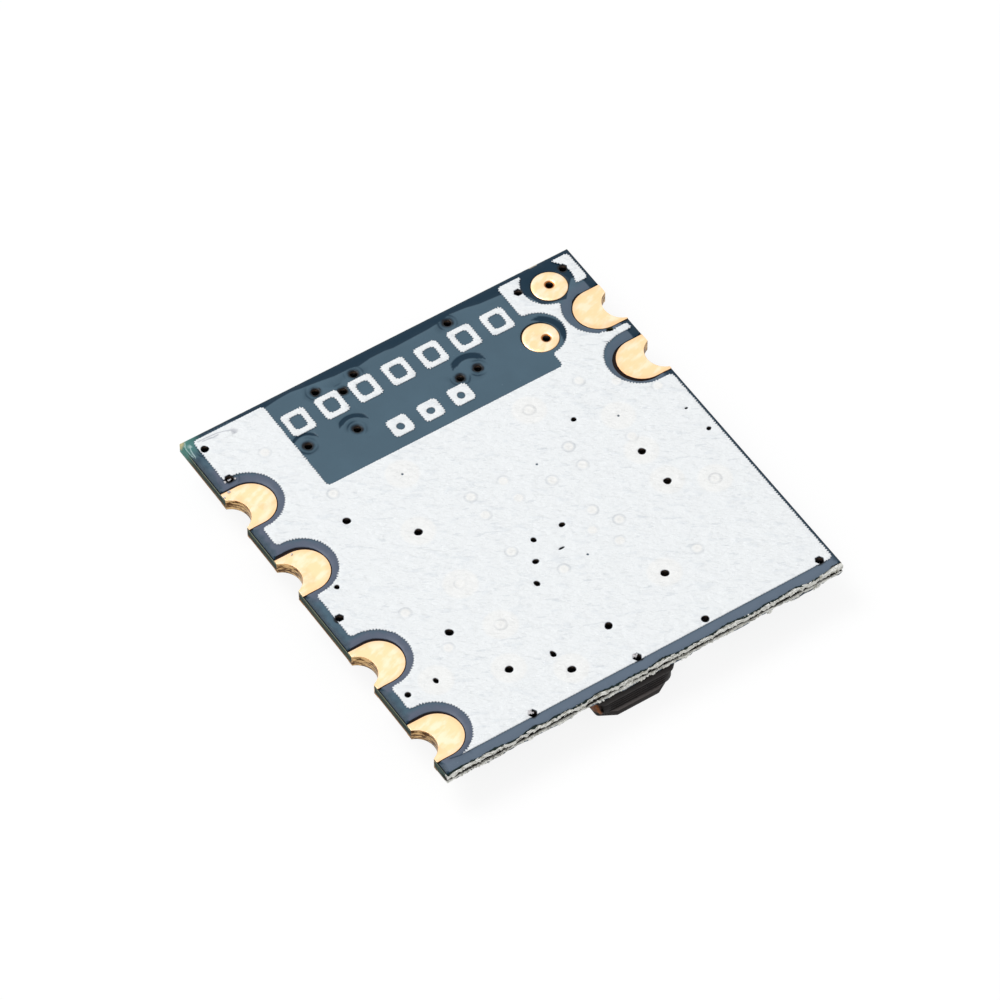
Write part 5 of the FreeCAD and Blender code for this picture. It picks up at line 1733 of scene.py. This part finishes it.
@dataclass
class WhitePrint:
    """White ink field with saw-toothed edges, dimples over vias and lifted rings over lands."""

    via_places: list[Point]
    top: float = 1.405
    base: float = MASK_TOP
    hole: float = 0.112
    pinhole: float = 0.03
    tooth: float = 0.034
    tooth_pitch: float = 0.082
    drift: Point = (-0.013, -0.03)
    dimple_radius: float = 0.13
    land_radius: float = 0.46

    def toothed(self, outline: Outline) -> Outline:
        """Give an outline the saw teeth that a screen's mesh leaves.

        Args:
            outline: closed outline.

        Returns:
            The outline with fine uneven teeth.
        """
        dense = densified(outline, self.tooth_pitch / 5)
        clear = smooth_step(gaps_to(dense, self.via_places), 0.13, 0.2)
        rounded = sum(np.roll(dense, k, axis=0) for k in range(-8, 9)) / 17
        dense = np.where(clear[:, None] > 0.5, rounded, dense)
        normals = left_normals(dense)
        between_contacts = (dense[:, 0] > 5.2) & (np.abs(dense[:, 1] - 3.23) < 0.25)
        widened = between_contacts & (np.abs(normals[:, 1]) > 0.6)
        dense = dense - 0.035 * normals * widened[:, None]
        along = np.cumsum(np.linalg.norm(dense - np.roll(dense, 1, axis=0), axis=1)) / self.tooth_pitch
        number = np.column_stack([np.floor(along) * 0.37, np.zeros(len(along))])
        spike = (1 - np.abs(2 * np.mod(along, 1.0) - 1)) ** 1.4
        size = np.clip(0.75 + 1.3 * wavering(number, 1.0, 21.0), 0.15, 1.4)
        weight = clear * np.where(np.abs(normals[:, 0]) < 0.05, 0.25, 1.0)
        shift = weight * (self.tooth * (1.4 * spike - 0.6) * size + 0.012 * wavering(dense, 7.0, 1.0))
        return dense + normals * shift[:, None]

    def inked_hole(self, outline: Outline) -> Outline:
        """Uneven hole that the ink leaves over an open via, smaller where the ink half closes it.

        Args:
            outline: round outline of the hole.

        Returns:
            The outline of what stays open.
        """
        middle = outline.mean(axis=0)
        uneven = outline + self.drift + 0.022 * wavering(outline, 7.0, 6.0)[:, None] * left_normals(outline)
        for place, reach in VEILED_VIAS:
            if math.dist(place, middle) < 0.12:
                uneven = np.array(place) + (uneven - middle) * np.array(reach) / self.hole
        return uneven

    def land_share(self, points: Rows) -> Rows:
        """Share of the round lands under the ink."""
        return 1 - smooth_step(gaps_to(points, LANDS), self.land_radius - 0.04, self.land_radius + 0.05)

    def lighter_and_highlight_share(self, points: Rows) -> Rows:
        """Share of a lighter tint: over the lands, and as painted highlight on the domes over closed vias.

        Args:
            points: places on the board.

        Returns:
            Values from 0 to 1.
        """
        gap = gaps_to(points, CLOSED_VIAS)
        # the domes' lighter tint is painted highlight
        domes = 1 - smooth_step(gap, self.dimple_radius - 0.03, self.dimple_radius + 0.02)
        return np.maximum(0.6 * self.land_share(points), 0.8 * domes)

    def dimples(self, points: Rows) -> Rows:
        """Depth share of the small dents over closed vias, negative on the domes round them.

        Args:
            points: places on the board.

        Returns:
            Values from -1 to 1.
        """
        gap = gaps_to(points, CLOSED_VIAS)
        dome = 1 - smooth_step(gap, self.dimple_radius - 0.02, self.dimple_radius + 0.03)
        foot = np.exp(-((gap - self.dimple_radius - 0.045) / 0.03) ** 2)
        return 0.8 * np.exp(-(gap / 0.05) ** 2) - 0.5 * dome + 0.35 * foot

    def worked(self, points: Rows) -> Rows:
        """Level of the ink's face.

        Args:
            points: places on the board.

        Returns:
            One level for each point.
        """
        cloth = 0.0011 * wavering(points, 3.0, 2.0) + 0.0012 * wavering(points, 7.5, 5.0)
        sunk = np.exp(-((gaps_to(points, self.via_places) - DRILL_RADIUS) / 0.05) ** 2)
        level = (self.top - 0.007 + cloth + 0.002 * self.land_share(points)
                 - 0.012 * self.dimples(points) - 0.005 * sunk)
        return np.minimum(level, self.top)

    def thin(self, points: Rows) -> Rows:
        """Share of painted shade over closed vias: a dark dot in each dent and a dark ring round each
        dome's foot.

        Args:
            points: places on the board.

        Returns:
            Values from 0 for none to 1 for full shade.
        """
        gap = gaps_to(points, CLOSED_VIAS)
        patchy = np.clip(0.5 + 1.7 * wavering(points, 1.9, 12.0), 0.08, 1.0)
        dents = 0.16 * patchy * np.exp(-(gap / 0.04) ** 2)
        foot = 0.27 * patchy * np.exp(-((gap - self.dimple_radius - 0.03) / 0.024) ** 2)
        return np.maximum(dents, foot)

    def build(self) -> None:
        """Make the ink field."""
        outlines = round_drills(node_outlines("silkscreen_back", self.top, Side.UP), self.hole, 16)
        outlines = [self.inked_hole(o) if drilled(o) else self.toothed(o) for o in outlines]
        outlines += [circle(place, self.pinhole, 7, True) for place in PINHOLES]
        extra = rings_round(CLOSED_VIAS, (0.03, 0.07, 0.105, 0.135, 0.17, 0.21), 0.055)
        extra += rings_round(LANDS, (0.42, 0.46, 0.51), 0.09)
        extra += rings_round(self.via_places, (0.17, 0.22), 0.08)
        extra += GREY_SCUFFS.relief_points()
        # bright: lighter tint over the lands and painted highlight on the domes
        marks = {"thin": self.thin, "scuff": GREY_SCUFFS.share, "bright": self.lighter_and_highlight_share}
        # At the rim the thin mark is 0.6: a dark line along the print's edge, partly thinner ink and partly
        # painted shadow.
        sheet = Sheet(outlines, self.base, self.worked, Side.UP, 0.11, extra, 0.018, 0.008, marks=marks,
                      rim_marks={"thin": 0.6})
        hand_over(sheet.build("white_print"), "white_print", PRINT, "silkscreen_back")


# Plating


@dataclass
class PlatedTubes:
    """Round plated tubes of the drilled holes, one at each place, set out by a pattern tree."""

    places: list[Point]
    radius: float = 0.122
    wall: float = 0.024

    def tree(self) -> PatternTree:
        """Pattern that stands one tube on each point.

        Returns:
            The tree.
        """
        tree = PatternTree("tube_at_each_via")
        radius, wall, height = (tree.ask(label) for label in ("Radius", "Wall", "Height"))
        tube = tree.swept(tree.ring(radius, 20), tree.oblong(wall, height))
        tree.close(tree.copies(tree.start.outputs[0], tube))
        return tree

    def build(self) -> None:
        """Make the tubes."""
        low, high = (corner.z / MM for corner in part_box("via_barrels"))
        seed = seed_points("via_points", [(x, y, (low + high) / 2) for x, y in self.places])
        values = {"Radius": self.radius * MM, "Wall": self.wall * MM, "Height": (high - low) * MM,
                  "Finish": SHADED_BORE.material()}
        hand_over(self.tree().grow("plated_tubes", seed, values), "gold_plate", None, "via_barrels")


@dataclass
class TestPads:
    """Round gold pads with a dished hole."""

    radius: float = 0.5
    top: float = 1.36
    base: float = 1.33

    def dished(self, hole: Point, points: Rows) -> Rows:
        """Level of the pad's face, which sinks towards its hole."""
        rim = np.exp(-((gaps_to(points, [hole]) - DRILL_RADIUS) / 0.04) ** 2)
        return self.top - 0.001 - 0.02 * rim

    def build(self) -> None:
        """Make both pads."""
        for name, (centre, hole) in TEST_PADS.items():
            outlines = [circle(centre, self.radius, 64, False), circle(hole, DRILL_RADIUS, 24, True)]
            extra = rings_round([hole], (0.13, 0.15, 0.18, 0.22), 0.05)
            sheet = Sheet(outlines, self.base, partial(self.dished, hole), Side.UP, 0.1, extra, 0.02, 0.008)
            hand_over(sheet.build(name + "_plating"), "gold_plate", GOLD, name)


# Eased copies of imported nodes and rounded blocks


def merged(node: str) -> bmesh.types.BMesh:
    """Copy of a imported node's mesh with its doubled points merged.

    Args:
        node: name of the node.

    Returns:
        The mesh, to be worked on.
    """
    work = bmesh.new()
    work.from_mesh(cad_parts[node].data)
    bmesh.ops.remove_doubles(work, verts=work.verts, dist=1e-4 * MM)
    return work


@dataclass
class EasedPiece:
    """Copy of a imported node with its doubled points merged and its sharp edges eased.

    Attributes:
        node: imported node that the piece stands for.
        name: name of the piece.
        slot: material slot.
        finish: finish of the piece.
        ease: width of the eased edge in millimetres.
        steps: faces across each eased edge.
    """

    node: str
    name: str
    slot: str
    finish: Finish
    ease: float = 0.02
    steps: int = 2

    def build(self) -> Piece:
        """Make the piece.

        Returns:
            The piece.
        """
        work = merged(self.node)
        bmesh.ops.dissolve_limit(work, angle_limit=math.radians(1.0), verts=work.verts, edges=work.edges)
        piece = eased(worked_piece(self.name, work), self.ease, self.steps)
        return hand_over(piece, self.slot, self.finish, self.node)


def eased(piece: Piece, width: float, steps: int) -> Piece:
    """Round the sharp edges of a piece and settle its shading.

    Args:
        piece: object with a closed mesh.
        width: width of the round in millimetres.
        steps: faces across it.

    Returns:
        The same object with a plain mesh.
    """
    bevel = piece.modifiers.new("ease", "BEVEL")
    bevel.width = width * MM
    bevel.segments = steps
    bevel.limit_method = "ANGLE"
    bevel.angle_limit = math.radians(35)
    bevel.use_clamp_overlap = True
    return settled(piece)


def settled(piece: Piece) -> Piece:
    """Let large faces shade flat, then bake the piece's modifiers into a plain mesh.

    Args:
        piece: object with a mesh and its modifiers.

    Returns:
        The same object.
    """
    weights = piece.modifiers.new("settle", "WEIGHTED_NORMAL")
    weights.mode = "FACE_AREA"
    weights.weight = 100
    depsgraph = bpy.context.evaluated_depsgraph_get()
    plain = bpy.data.meshes.new_from_object(piece.evaluated_get(depsgraph), depsgraph=depsgraph)
    piece.modifiers.clear()
    rough = piece.data
    piece.data = plain
    bpy.data.meshes.remove(rough)
    plain.name = piece.name
    return piece


def block_piece(name: str, low: Vector, high: Vector, ease: float, steps: int = 3) -> Piece:
    """Rounded block.

    Args:
        name: name of the block.
        low: low corner in metres.
        high: high corner in metres.
        ease: width of its eased edges in millimetres.
        steps: faces across each of them.

    Returns:
        The block.
    """
    work = bmesh.new()
    bmesh.ops.create_cube(work, size=1.0)
    size = high - low
    for vertex in work.verts:
        vertex.co = Vector(a * b for a, b in zip(vertex.co, size)) + (high + low) / 2
    return eased(worked_piece(name, work), ease, steps)


def joined(name: str, parts: Sequence[Piece]) -> Piece:
    """Join parts into one piece.

    Args:
        name: name of the piece.
        parts: its parts, which are used up.

    Returns:
        The piece.
    """
    work = bmesh.new()
    for part in parts:
        work.from_mesh(part.data)
        bpy.data.objects.remove(part)
    return settled(worked_piece(name, work))


# Chip parts and their solder


@dataclass
class ChipPart:
    """Ceramic chip with fired metal caps and a solder fillet at either end.

    Attributes:
        node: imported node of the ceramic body; its caps' node has the same name and _end_caps.
        slot: material slot of the ceramic.
        finish: finish of the ceramic.
        band: length of a cap.
        toe: reach of the fillet beyond the cap.
        rise: share of the cap's height that the fillet climbs.
        sunk: how far the fillet reaches into the cap.
        land_gap: gap between the cap and its land.
    """

    node: str
    slot: str
    finish: Finish
    band: float = 0.24
    toe: float = 0.12
    rise: float = 0.55
    sunk: float = 0.03
    land_gap: float = 0.028

    def ends(self) -> list[tuple[Vector, Vector, int, int]]:
        """Where the caps are.

        Returns:
            Low and high corner of each cap, the axis it lies on and the way it points.
        """
        low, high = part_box(self.node + "_end_caps")
        axis = 0 if high.x - low.x > high.y - low.y else 1
        first_high, second_low = high.copy(), low.copy()
        first_high[axis] = low[axis] + self.band * MM
        second_low[axis] = high[axis] - self.band * MM
        return [(low, first_high, axis, -1), (second_low, high, axis, 1)]

    def build(self) -> list[Piece]:
        """Make body and caps.

        Returns:
            The loose solder fillets, to be joined with those of the other parts.
        """
        low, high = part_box(self.node)
        body = block_piece(self.node + "_ceramic", low, high, 0.025, 2)
        hand_over(body, self.slot, self.finish, self.node)
        caps = [block_piece("cap", a, b, 0.045, 3) for a, b, _, _ in self.ends()]
        cap_piece = joined(self.node + "_caps", caps)
        hand_over(cap_piece, "tin_plate", TIN, self.node + "_end_caps")
        return [self.fillet(*end) for end in self.ends()]

    def fillet(self, low: Vector, high: Vector, axis: int, way: int) -> Piece:
        """Hollow ramp of solder from the land up a cap.

        Args:
            low: low corner of the cap.
            high: high corner of the cap.
            axis: 0 where the part lies along X, 1 along Y.
            way: 1 or -1, the way out of the part.

        Returns:
            The fillet.
        """
        across = 1 - axis
        face = (high if way > 0 else low)[axis] / MM
        middle = (high[across] + low[across]) / 2 / MM
        half = (high[across] - low[across]) / 2 / MM
        land = high.z / MM + self.land_gap
        rise = self.rise * (high.z - low.z) / MM + self.sunk
        steps, columns = 8, 7
        rows = []
        for k in range(steps + 1):
            angle = math.pi / 2 * k / steps
            rows.append((self.toe * (1 - math.sin(angle)), rise * (1 - math.cos(angle))))
        points, faces = [], []
        for out, up in [(-self.sunk, 0.0), *rows, (-self.sunk, rise)]:
            for j in range(columns):
                share = 2 * j / (columns - 1) - 1
                droop = 1 - 0.25 * share ** 4
                place = [0.0, 0.0, land - up * droop]
                place[axis] = face + way * (out * droop if out > 0 else out)
                place[across] = middle + share * half * 1.02
                points.append(place)
        count = len(rows) + 2
        for k in range(count):
            for j in range(columns - 1):
                a, b = k * columns + j, ((k + 1) % count) * columns + j
                faces.append((a, a + 1, b + 1, b))
        faces.append([k * columns for k in range(count)])
        faces.append([k * columns + columns - 1 for k in reversed(range(count))])
        piece = mesh_piece("fillet", np.array(points), faces)
        work = bmesh.new()
        work.from_mesh(piece.data)
        bmesh.ops.recalc_face_normals(work, faces=work.faces)
        work.to_mesh(piece.data)
        work.free()
        return piece


@dataclass
class ComponentSide:
    """Everything soldered under the board."""

    capacitors: tuple[str, ...] = (
        "supply_capacitor_1", "supply_capacitor_2", "supply_capacitor_3", "supply_capacitor_4",
        "crystal_capacitor_1", "crystal_capacitor_2", "input_capacitor", "output_capacitor",
        "bulk_capacitor", "antenna_capacitor", "matching_capacitor",
    )
    flat_height: float = 0.06

    def flat_joints(self) -> Piece:
        """Copy of the flat solder joints, without the ramps of the chip parts.

        Returns:
            The joints as one piece.
        """
        work = merged("solder_joints")
        unseen = set(work.verts)
        ramps = []
        while unseen:
            island, queue = [], [unseen.pop()]
            while queue:
                vertex = queue.pop()
                island.append(vertex)
                for link in vertex.link_edges:
                    other = link.other_vert(vertex)
                    if other in unseen:
                        unseen.discard(other)
                        queue.append(other)
            levels = [v.co.z for v in island]
            if max(levels) - min(levels) > self.flat_height * MM:
                ramps += island
        bmesh.ops.delete(work, geom=ramps, context="VERTS")
        bmesh.ops.dissolve_limit(work, angle_limit=0.02, verts=work.verts, edges=work.edges)
        return eased(worked_piece("flat_joints", work), 0.008, 1)

    def build(self) -> None:
        """Make the chip parts, the solder, the chip, the crystal and the inductor."""
        fillets = []
        for node in self.capacitors:
            fillets += ChipPart(node, "capacitor_ceramic", BROWN_CERAMIC).build()
        fillets += ChipPart("matching_inductor", "capacitor_ceramic", GREY_CERAMIC).build()
        fillets += ChipPart("radio_filter", "filter_ceramic", PALE_CERAMIC).build()
        for node in ("bias_resistor", "pull_up_resistor"):
            fillets += ChipPart(node, "resistor_glaze", GLAZE).build()
        solder = joined("solder_fillets", [self.flat_joints(), *fillets])
        hand_over(solder, "solder", SOLDER, "solder_joints")
        for piece in (
            EasedPiece("wifi_chip_body", "chip_moulding", "chip_mould", CHIP_RESIN, 0.02),
            EasedPiece("wifi_chip_leads", "chip_leads", "tin_plate", TIN, 0.015),
            EasedPiece("wifi_chip_paddle", "chip_paddle", "tin_plate", TIN, 0.02),
            EasedPiece("crystal_tray", "crystal_case", "crystal_ceramic", CRYSTAL_CERAMIC, 0.02),
            EasedPiece("crystal_lid", "crystal_cover", "crystal_lid", LID_METAL, 0.03),
            EasedPiece("crystal_pads", "crystal_feet", "gold_plate", GOLD, 0.01),
            EasedPiece("quartz_blank", "quartz_plate", "quartz", QUARTZ, 0.008),
            EasedPiece("front_lands", "component_lands", "gold_plate", LAND_GOLD, 0.008, 1),
            EasedPiece("drum_core", "ferrite_drum", "ferrite", FERRITE, 0.085, 4),
            EasedPiece("inductor_terminals", "inductor_feet", "tin_plate", TIN, 0.015),
        ):
            piece.build()


@dataclass
class InductorWinding:
    """Turns of enamelled wire round the drum, on a bed of dark resin that lies an inset behind them."""

    wire: float = 0.1
    bare_radius: float = 0.04
    turns: int = 4
    corner: float = 0.42
    inset: float = 0.02
    tail_line: tuple[Triple, ...] = (
        (-1.15, -6.10, 0.30), (-1.30, -6.33, 0.36), (-1.42, -6.395, 0.47), (-1.47, -6.39, 0.58),
        (-1.47, -6.30, 0.68), (-1.44, -6.12, 0.76),
    )

    def tree(self) -> PatternTree:
        """Pattern that lays one rounded turn on each point.

        Returns:
            The tree.
        """
        tree = PatternTree("turns_of_wire")
        width, length, corner, wire = (tree.ask(label) for label in ("Width", "Length", "Corner", "Wire"))
        loop = tree.rounded(tree.oblong(width, length), corner, 6)
        turn = tree.swept(loop, tree.ring(tree.times(wire, 0.5), 10))
        tree.close(tree.copies(tree.start.outputs[0], turn))
        return tree

    def build(self) -> None:
        """Make the bed, the turns on it and the wire's bare end."""
        low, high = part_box("inductor_winding")
        middle, size = (low + high) / 2, high - low
        pitch = (size.z / MM - self.wire) / (self.turns - 1)
        levels = [low.z / MM + self.wire / 2 + k * pitch for k in range(self.turns)]
        seed = seed_points("turn_points", [(middle.x / MM, middle.y / MM, z) for z in levels])
        values = {"Width": size.x - self.wire * MM, "Length": size.y - self.wire * MM,
                  "Corner": self.corner * MM, "Wire": self.wire * MM, "Finish": RESIN.material()}
        turns = self.tree().grow("wire_turns", seed, values)
        bed = EasedPiece("inductor_winding", "winding_bed", "winding_resin", RESIN, 0.02).build()
        for vertex in bed.data.vertices:
            for axis in (0, 1):
                away = vertex.co[axis] - middle[axis]
                vertex.co[axis] = middle[axis] + away * (1 - 2 * self.inset * MM / size[axis])
        hand_over(turns, "winding_resin", None)
        hand_over(self.tail(), "winding_resin", None)

    def tail(self) -> Piece:
        """Bare end of the wire, which leaves the winding for the left terminal.

        Returns:
            The piece.
        """
        tree = PatternTree("wire_along_line")
        tree.close(tree.swept(tree.start.outputs[0], tree.ring(tree.ask("Radius"), 10), True))
        values = {"Radius": self.bare_radius * MM, "Finish": RESIN.material()}
        return tree.grow("wire_tail", seed_lines("wire_tail_line", "NURBS", [self.tail_line]), values)


@dataclass
class EdgeContacts:
    """Six castellated contacts with eased pad edges."""

    ease: float = 0.01

    def build(self) -> None:
        """Make the contacts."""
        for name in CONTACTS:
            EasedPiece(name, name + "_plating", "gold_plate", GOLD, self.ease, 2).build()


# Copper traces that show as ridges under the lacquer of the component side


@dataclass
class Traces:
    """Raised lines of the copper traces under the component side's lacquer."""

    width: float = 0.15
    rise: float = 0.012
    level: float = 0.966

    def lines(self) -> list[list[Point]]:
        """Centre lines of the traces.

        Returns:
            A few places along each trace.
        """
        lines = [
            [(5.25, 4.22), (4.9, 4.22), (4.6, 3.92), (4.6, 3.6)],
            [(4.6, 2.4), (4.3, 2.4), (4.05, 2.65)],
            [(1.75, 3.0), (1.3, 3.0)],
            [(0.2, 3.0), (-0.15, 3.0), (-0.45, 3.3)],
            [(0.45, 1.75), (0.45, 2.3), (0.2, 2.6)],
            [(-2.0, 0.3), (-2.15, 0.6), (-2.15, 1.2), (-2.35, 1.4)],
            [(-2.0, -0.2), (-2.2, -0.4), (-2.3, -0.7)],
            [(-2.9, -2.0), (-2.4, -2.0), (-2.1, -1.7), (-2.0, -1.2)],
            [(-2.9, -2.8), (-2.2, -2.8), (-2.0, -2.6)],
            [(-5.25, 1.08), (-4.95, 0.78), (-4.95, -3.1), (-4.45, -3.6), (-1.6, -3.75), (-1.05, -3.65)],
            [(-5.25, -2.47), (-4.75, -3.05), (-4.4, -3.4), (-1.5, -3.5)],
            [(-5.25, 3.7), (-4.95, 4.0), (-4.95, 4.6), (-4.7, 4.9)],
            [(-2.85, 5.15), (-2.2, 5.15), (-1.2, 4.2), (-1.2, 2.2), (-0.55, 1.75)],
            [(-2.6, 3.5), (-2.95, 3.5), (-3.2, 3.1), (-3.2, 2.2)],
            [(-1.25, 2.6), (-0.95, 2.3), (-0.95, 1.95), (-0.05, 1.75)],
            [(-2.26, -4.6), (-2.26, -4.1), (-1.9, -3.9)],
            [(1.89, -4.3), (1.89, -3.9), (1.6, -3.65)],
            [(0.7, -3.65), (0.7, -4.1), (0.9, -4.4)],
            [(5.25, 2.16), (4.9, 1.8), (4.9, -3.4), (4.4, -3.9), (3.0, -3.9)],
        ]
        for y in (0.4, -0.5, -1.4, -2.3):
            lines.append([(3.35, y - 0.1), (3.5, y), (3.65, y)])
        return lines

    def tree(self) -> PatternTree:
        """Pattern that runs a low flat ridge along each line.

        Returns:
            The tree.
        """
        tree = PatternTree("trace_ridges")
        width, rise = tree.ask("Width"), tree.ask("Rise")
        soft = tree.rounded(tree.oblong(width, rise), tree.times(rise, 0.45), 2)
        tree.close(tree.swept(tree.start.outputs[0], soft, True))
        return tree

    def build(self) -> None:
        """Make the ridges."""
        values = {"Width": self.width * MM, "Rise": self.rise * 2 * MM, "Finish": MASK.material()}
        lines = [[(x, y, self.level) for x, y in line] for line in self.lines()]
        piece = self.tree().grow("trace_ridges", seed_lines("trace_lines", "POLY", lines), values)
        for label in ("bare", "ring"):
            piece.data.attributes.new(label, "FLOAT", "POINT")
        hand_over(piece, "solder_mask", None)


# Floor, light and camera


@dataclass
class Studio:
    """Pale floor, soft light and the camera at the photograph's angle."""

    lens: float = 235.3
    place: Triple = (-57.76, -88.23, 134.665)
    azimuth: float = 33.08
    elevation: float = 51.62
    roll: float = -0.31
    floor_half: float = 0.6
    sky: float = 0.52
    key_power: float = 0.74
    fill_power: float = 0.259
    floor_glow: float = 1.03
    shadow_share: float = 0.16

    def seen(self, bench: Bench) -> Socket:
        """Where a background shows plain white: to the camera, in gloss and through glass.

        Args:
            bench: bench of the background's material or air.

        Returns:
            The factor socket.
        """
        path = bench.put("ShaderNodeLightPath").outputs
        direct = bench.sum("MAXIMUM", path["Is Camera Ray"], path["Is Glossy Ray"])
        return bench.sum("MAXIMUM", direct, path["Is Transmission Ray"])

    def floor(self) -> None:
        """Make the floor under the parts."""
        half = self.floor_half
        mesh = bpy.data.meshes.new("floor")
        corners = [(-half, -half, 0), (half, -half, 0), (half, half, 0), (-half, half, 0)]
        mesh.from_pydata(corners, [], [(0, 1, 2, 3)])
        bench = FinishBench("pale_floor")
        share = bench.times(self.seen(bench), 1 - self.shadow_share)
        paper = bench.tint(bench.grain(0.4, 2.0), (0.93, 0.93, 0.93), (0.97, 0.97, 0.97))
        matt = bench.put("ShaderNodeBsdfDiffuse", {"Color": paper})
        white = bench.put("ShaderNodeEmission", {"Color": WHITE, "Strength": self.floor_glow})
        both = bench.put("ShaderNodeMixShader", {0: share, 1: matt.outputs[0], 2: white.outputs[0]})
        bench.put("ShaderNodeOutputMaterial", {"Surface": both.outputs[0]})
        mesh.materials.append(bench.material)
        new_object("floor", mesh)

    def light(self) -> None:
        """Hang the soft lamps and set the sky."""
        world = bpy.data.worlds.new("studio_air")
        bpy.context.scene.world = world
        world.use_nodes = True
        bench = Bench(world.node_tree)
        bench.tree.nodes.clear()
        strength = bench.sum("MAXIMUM", self.seen(bench), self.sky)
        air = bench.put("ShaderNodeBackground", {"Color": WHITE, "Strength": strength})
        bench.put("ShaderNodeOutputWorld", {"Surface": air.outputs[0]})
        for name, place, size, power in (
            ("key_lamp", (-0.12, 0.16, 0.34), 0.22, self.key_power),
            ("fill_lamp", (-0.25, -0.22, 0.25), 0.25, self.fill_power),
        ):
            lamp = bpy.data.lights.new(name, "AREA")
            lamp.shape = "SQUARE"
            lamp.size = size
            lamp.energy = power
            holder = new_object(name, lamp)
            holder.location = place
            holder.rotation_euler = (-Vector(place)).to_track_quat("-Z", "Y").to_euler()

    def camera(self) -> None:
        """Set the camera at the photograph's viewing angle."""
        data = bpy.data.cameras.new("camera")
        data.lens = self.lens
        data.sensor_width = 36.0
        data.sensor_fit = "HORIZONTAL"
        data.clip_start = 0.005
        data.clip_end = 10.0
        turn = Euler((math.radians(90 - self.elevation), 0.0, math.radians(-self.azimuth)), "XYZ")
        roll = Matrix.Rotation(math.radians(self.roll), 4, "Z")
        camera = new_object("camera", data)
        camera.matrix_world = Matrix.Translation(Vector(self.place) * MM) @ turn.to_matrix().to_4x4() @ roll
        bpy.context.scene.camera = camera
        bpy.context.scene.view_settings.view_transform = "Standard"

    def build(self) -> None:
        """Set up floor, light and camera."""
        self.floor()
        self.light()
        self.camera()


def open_via_places() -> list[Point]:
    """Middles of the open vias, from the openings of the back lacquer."""
    outlines = node_outlines("solder_mask_back", MASK_TOP, Side.UP)
    return [tuple(o.mean(axis=0)) for o in outlines if drilled(o)]


def main() -> None:
    """Dress the module piece by piece, then set up the studio."""
    logging.basicConfig(level=logging.INFO, format="%(name)s %(message)s")
    vias = open_via_places()
    log.info("open vias: %d", len(vias))
    holes = vias + [hole for _, hole in TEST_PADS.values()]
    for part in (BoardPlies(), TornFibres(), BackMask(vias), FrontMask(), WhitePrint(vias),
                 PlatedTubes(holes), TestPads(), EdgeContacts(), ComponentSide(), InductorWinding(),
                 Traces(), Studio()):
        part.build()


if __name__ == "__main__":
    main()
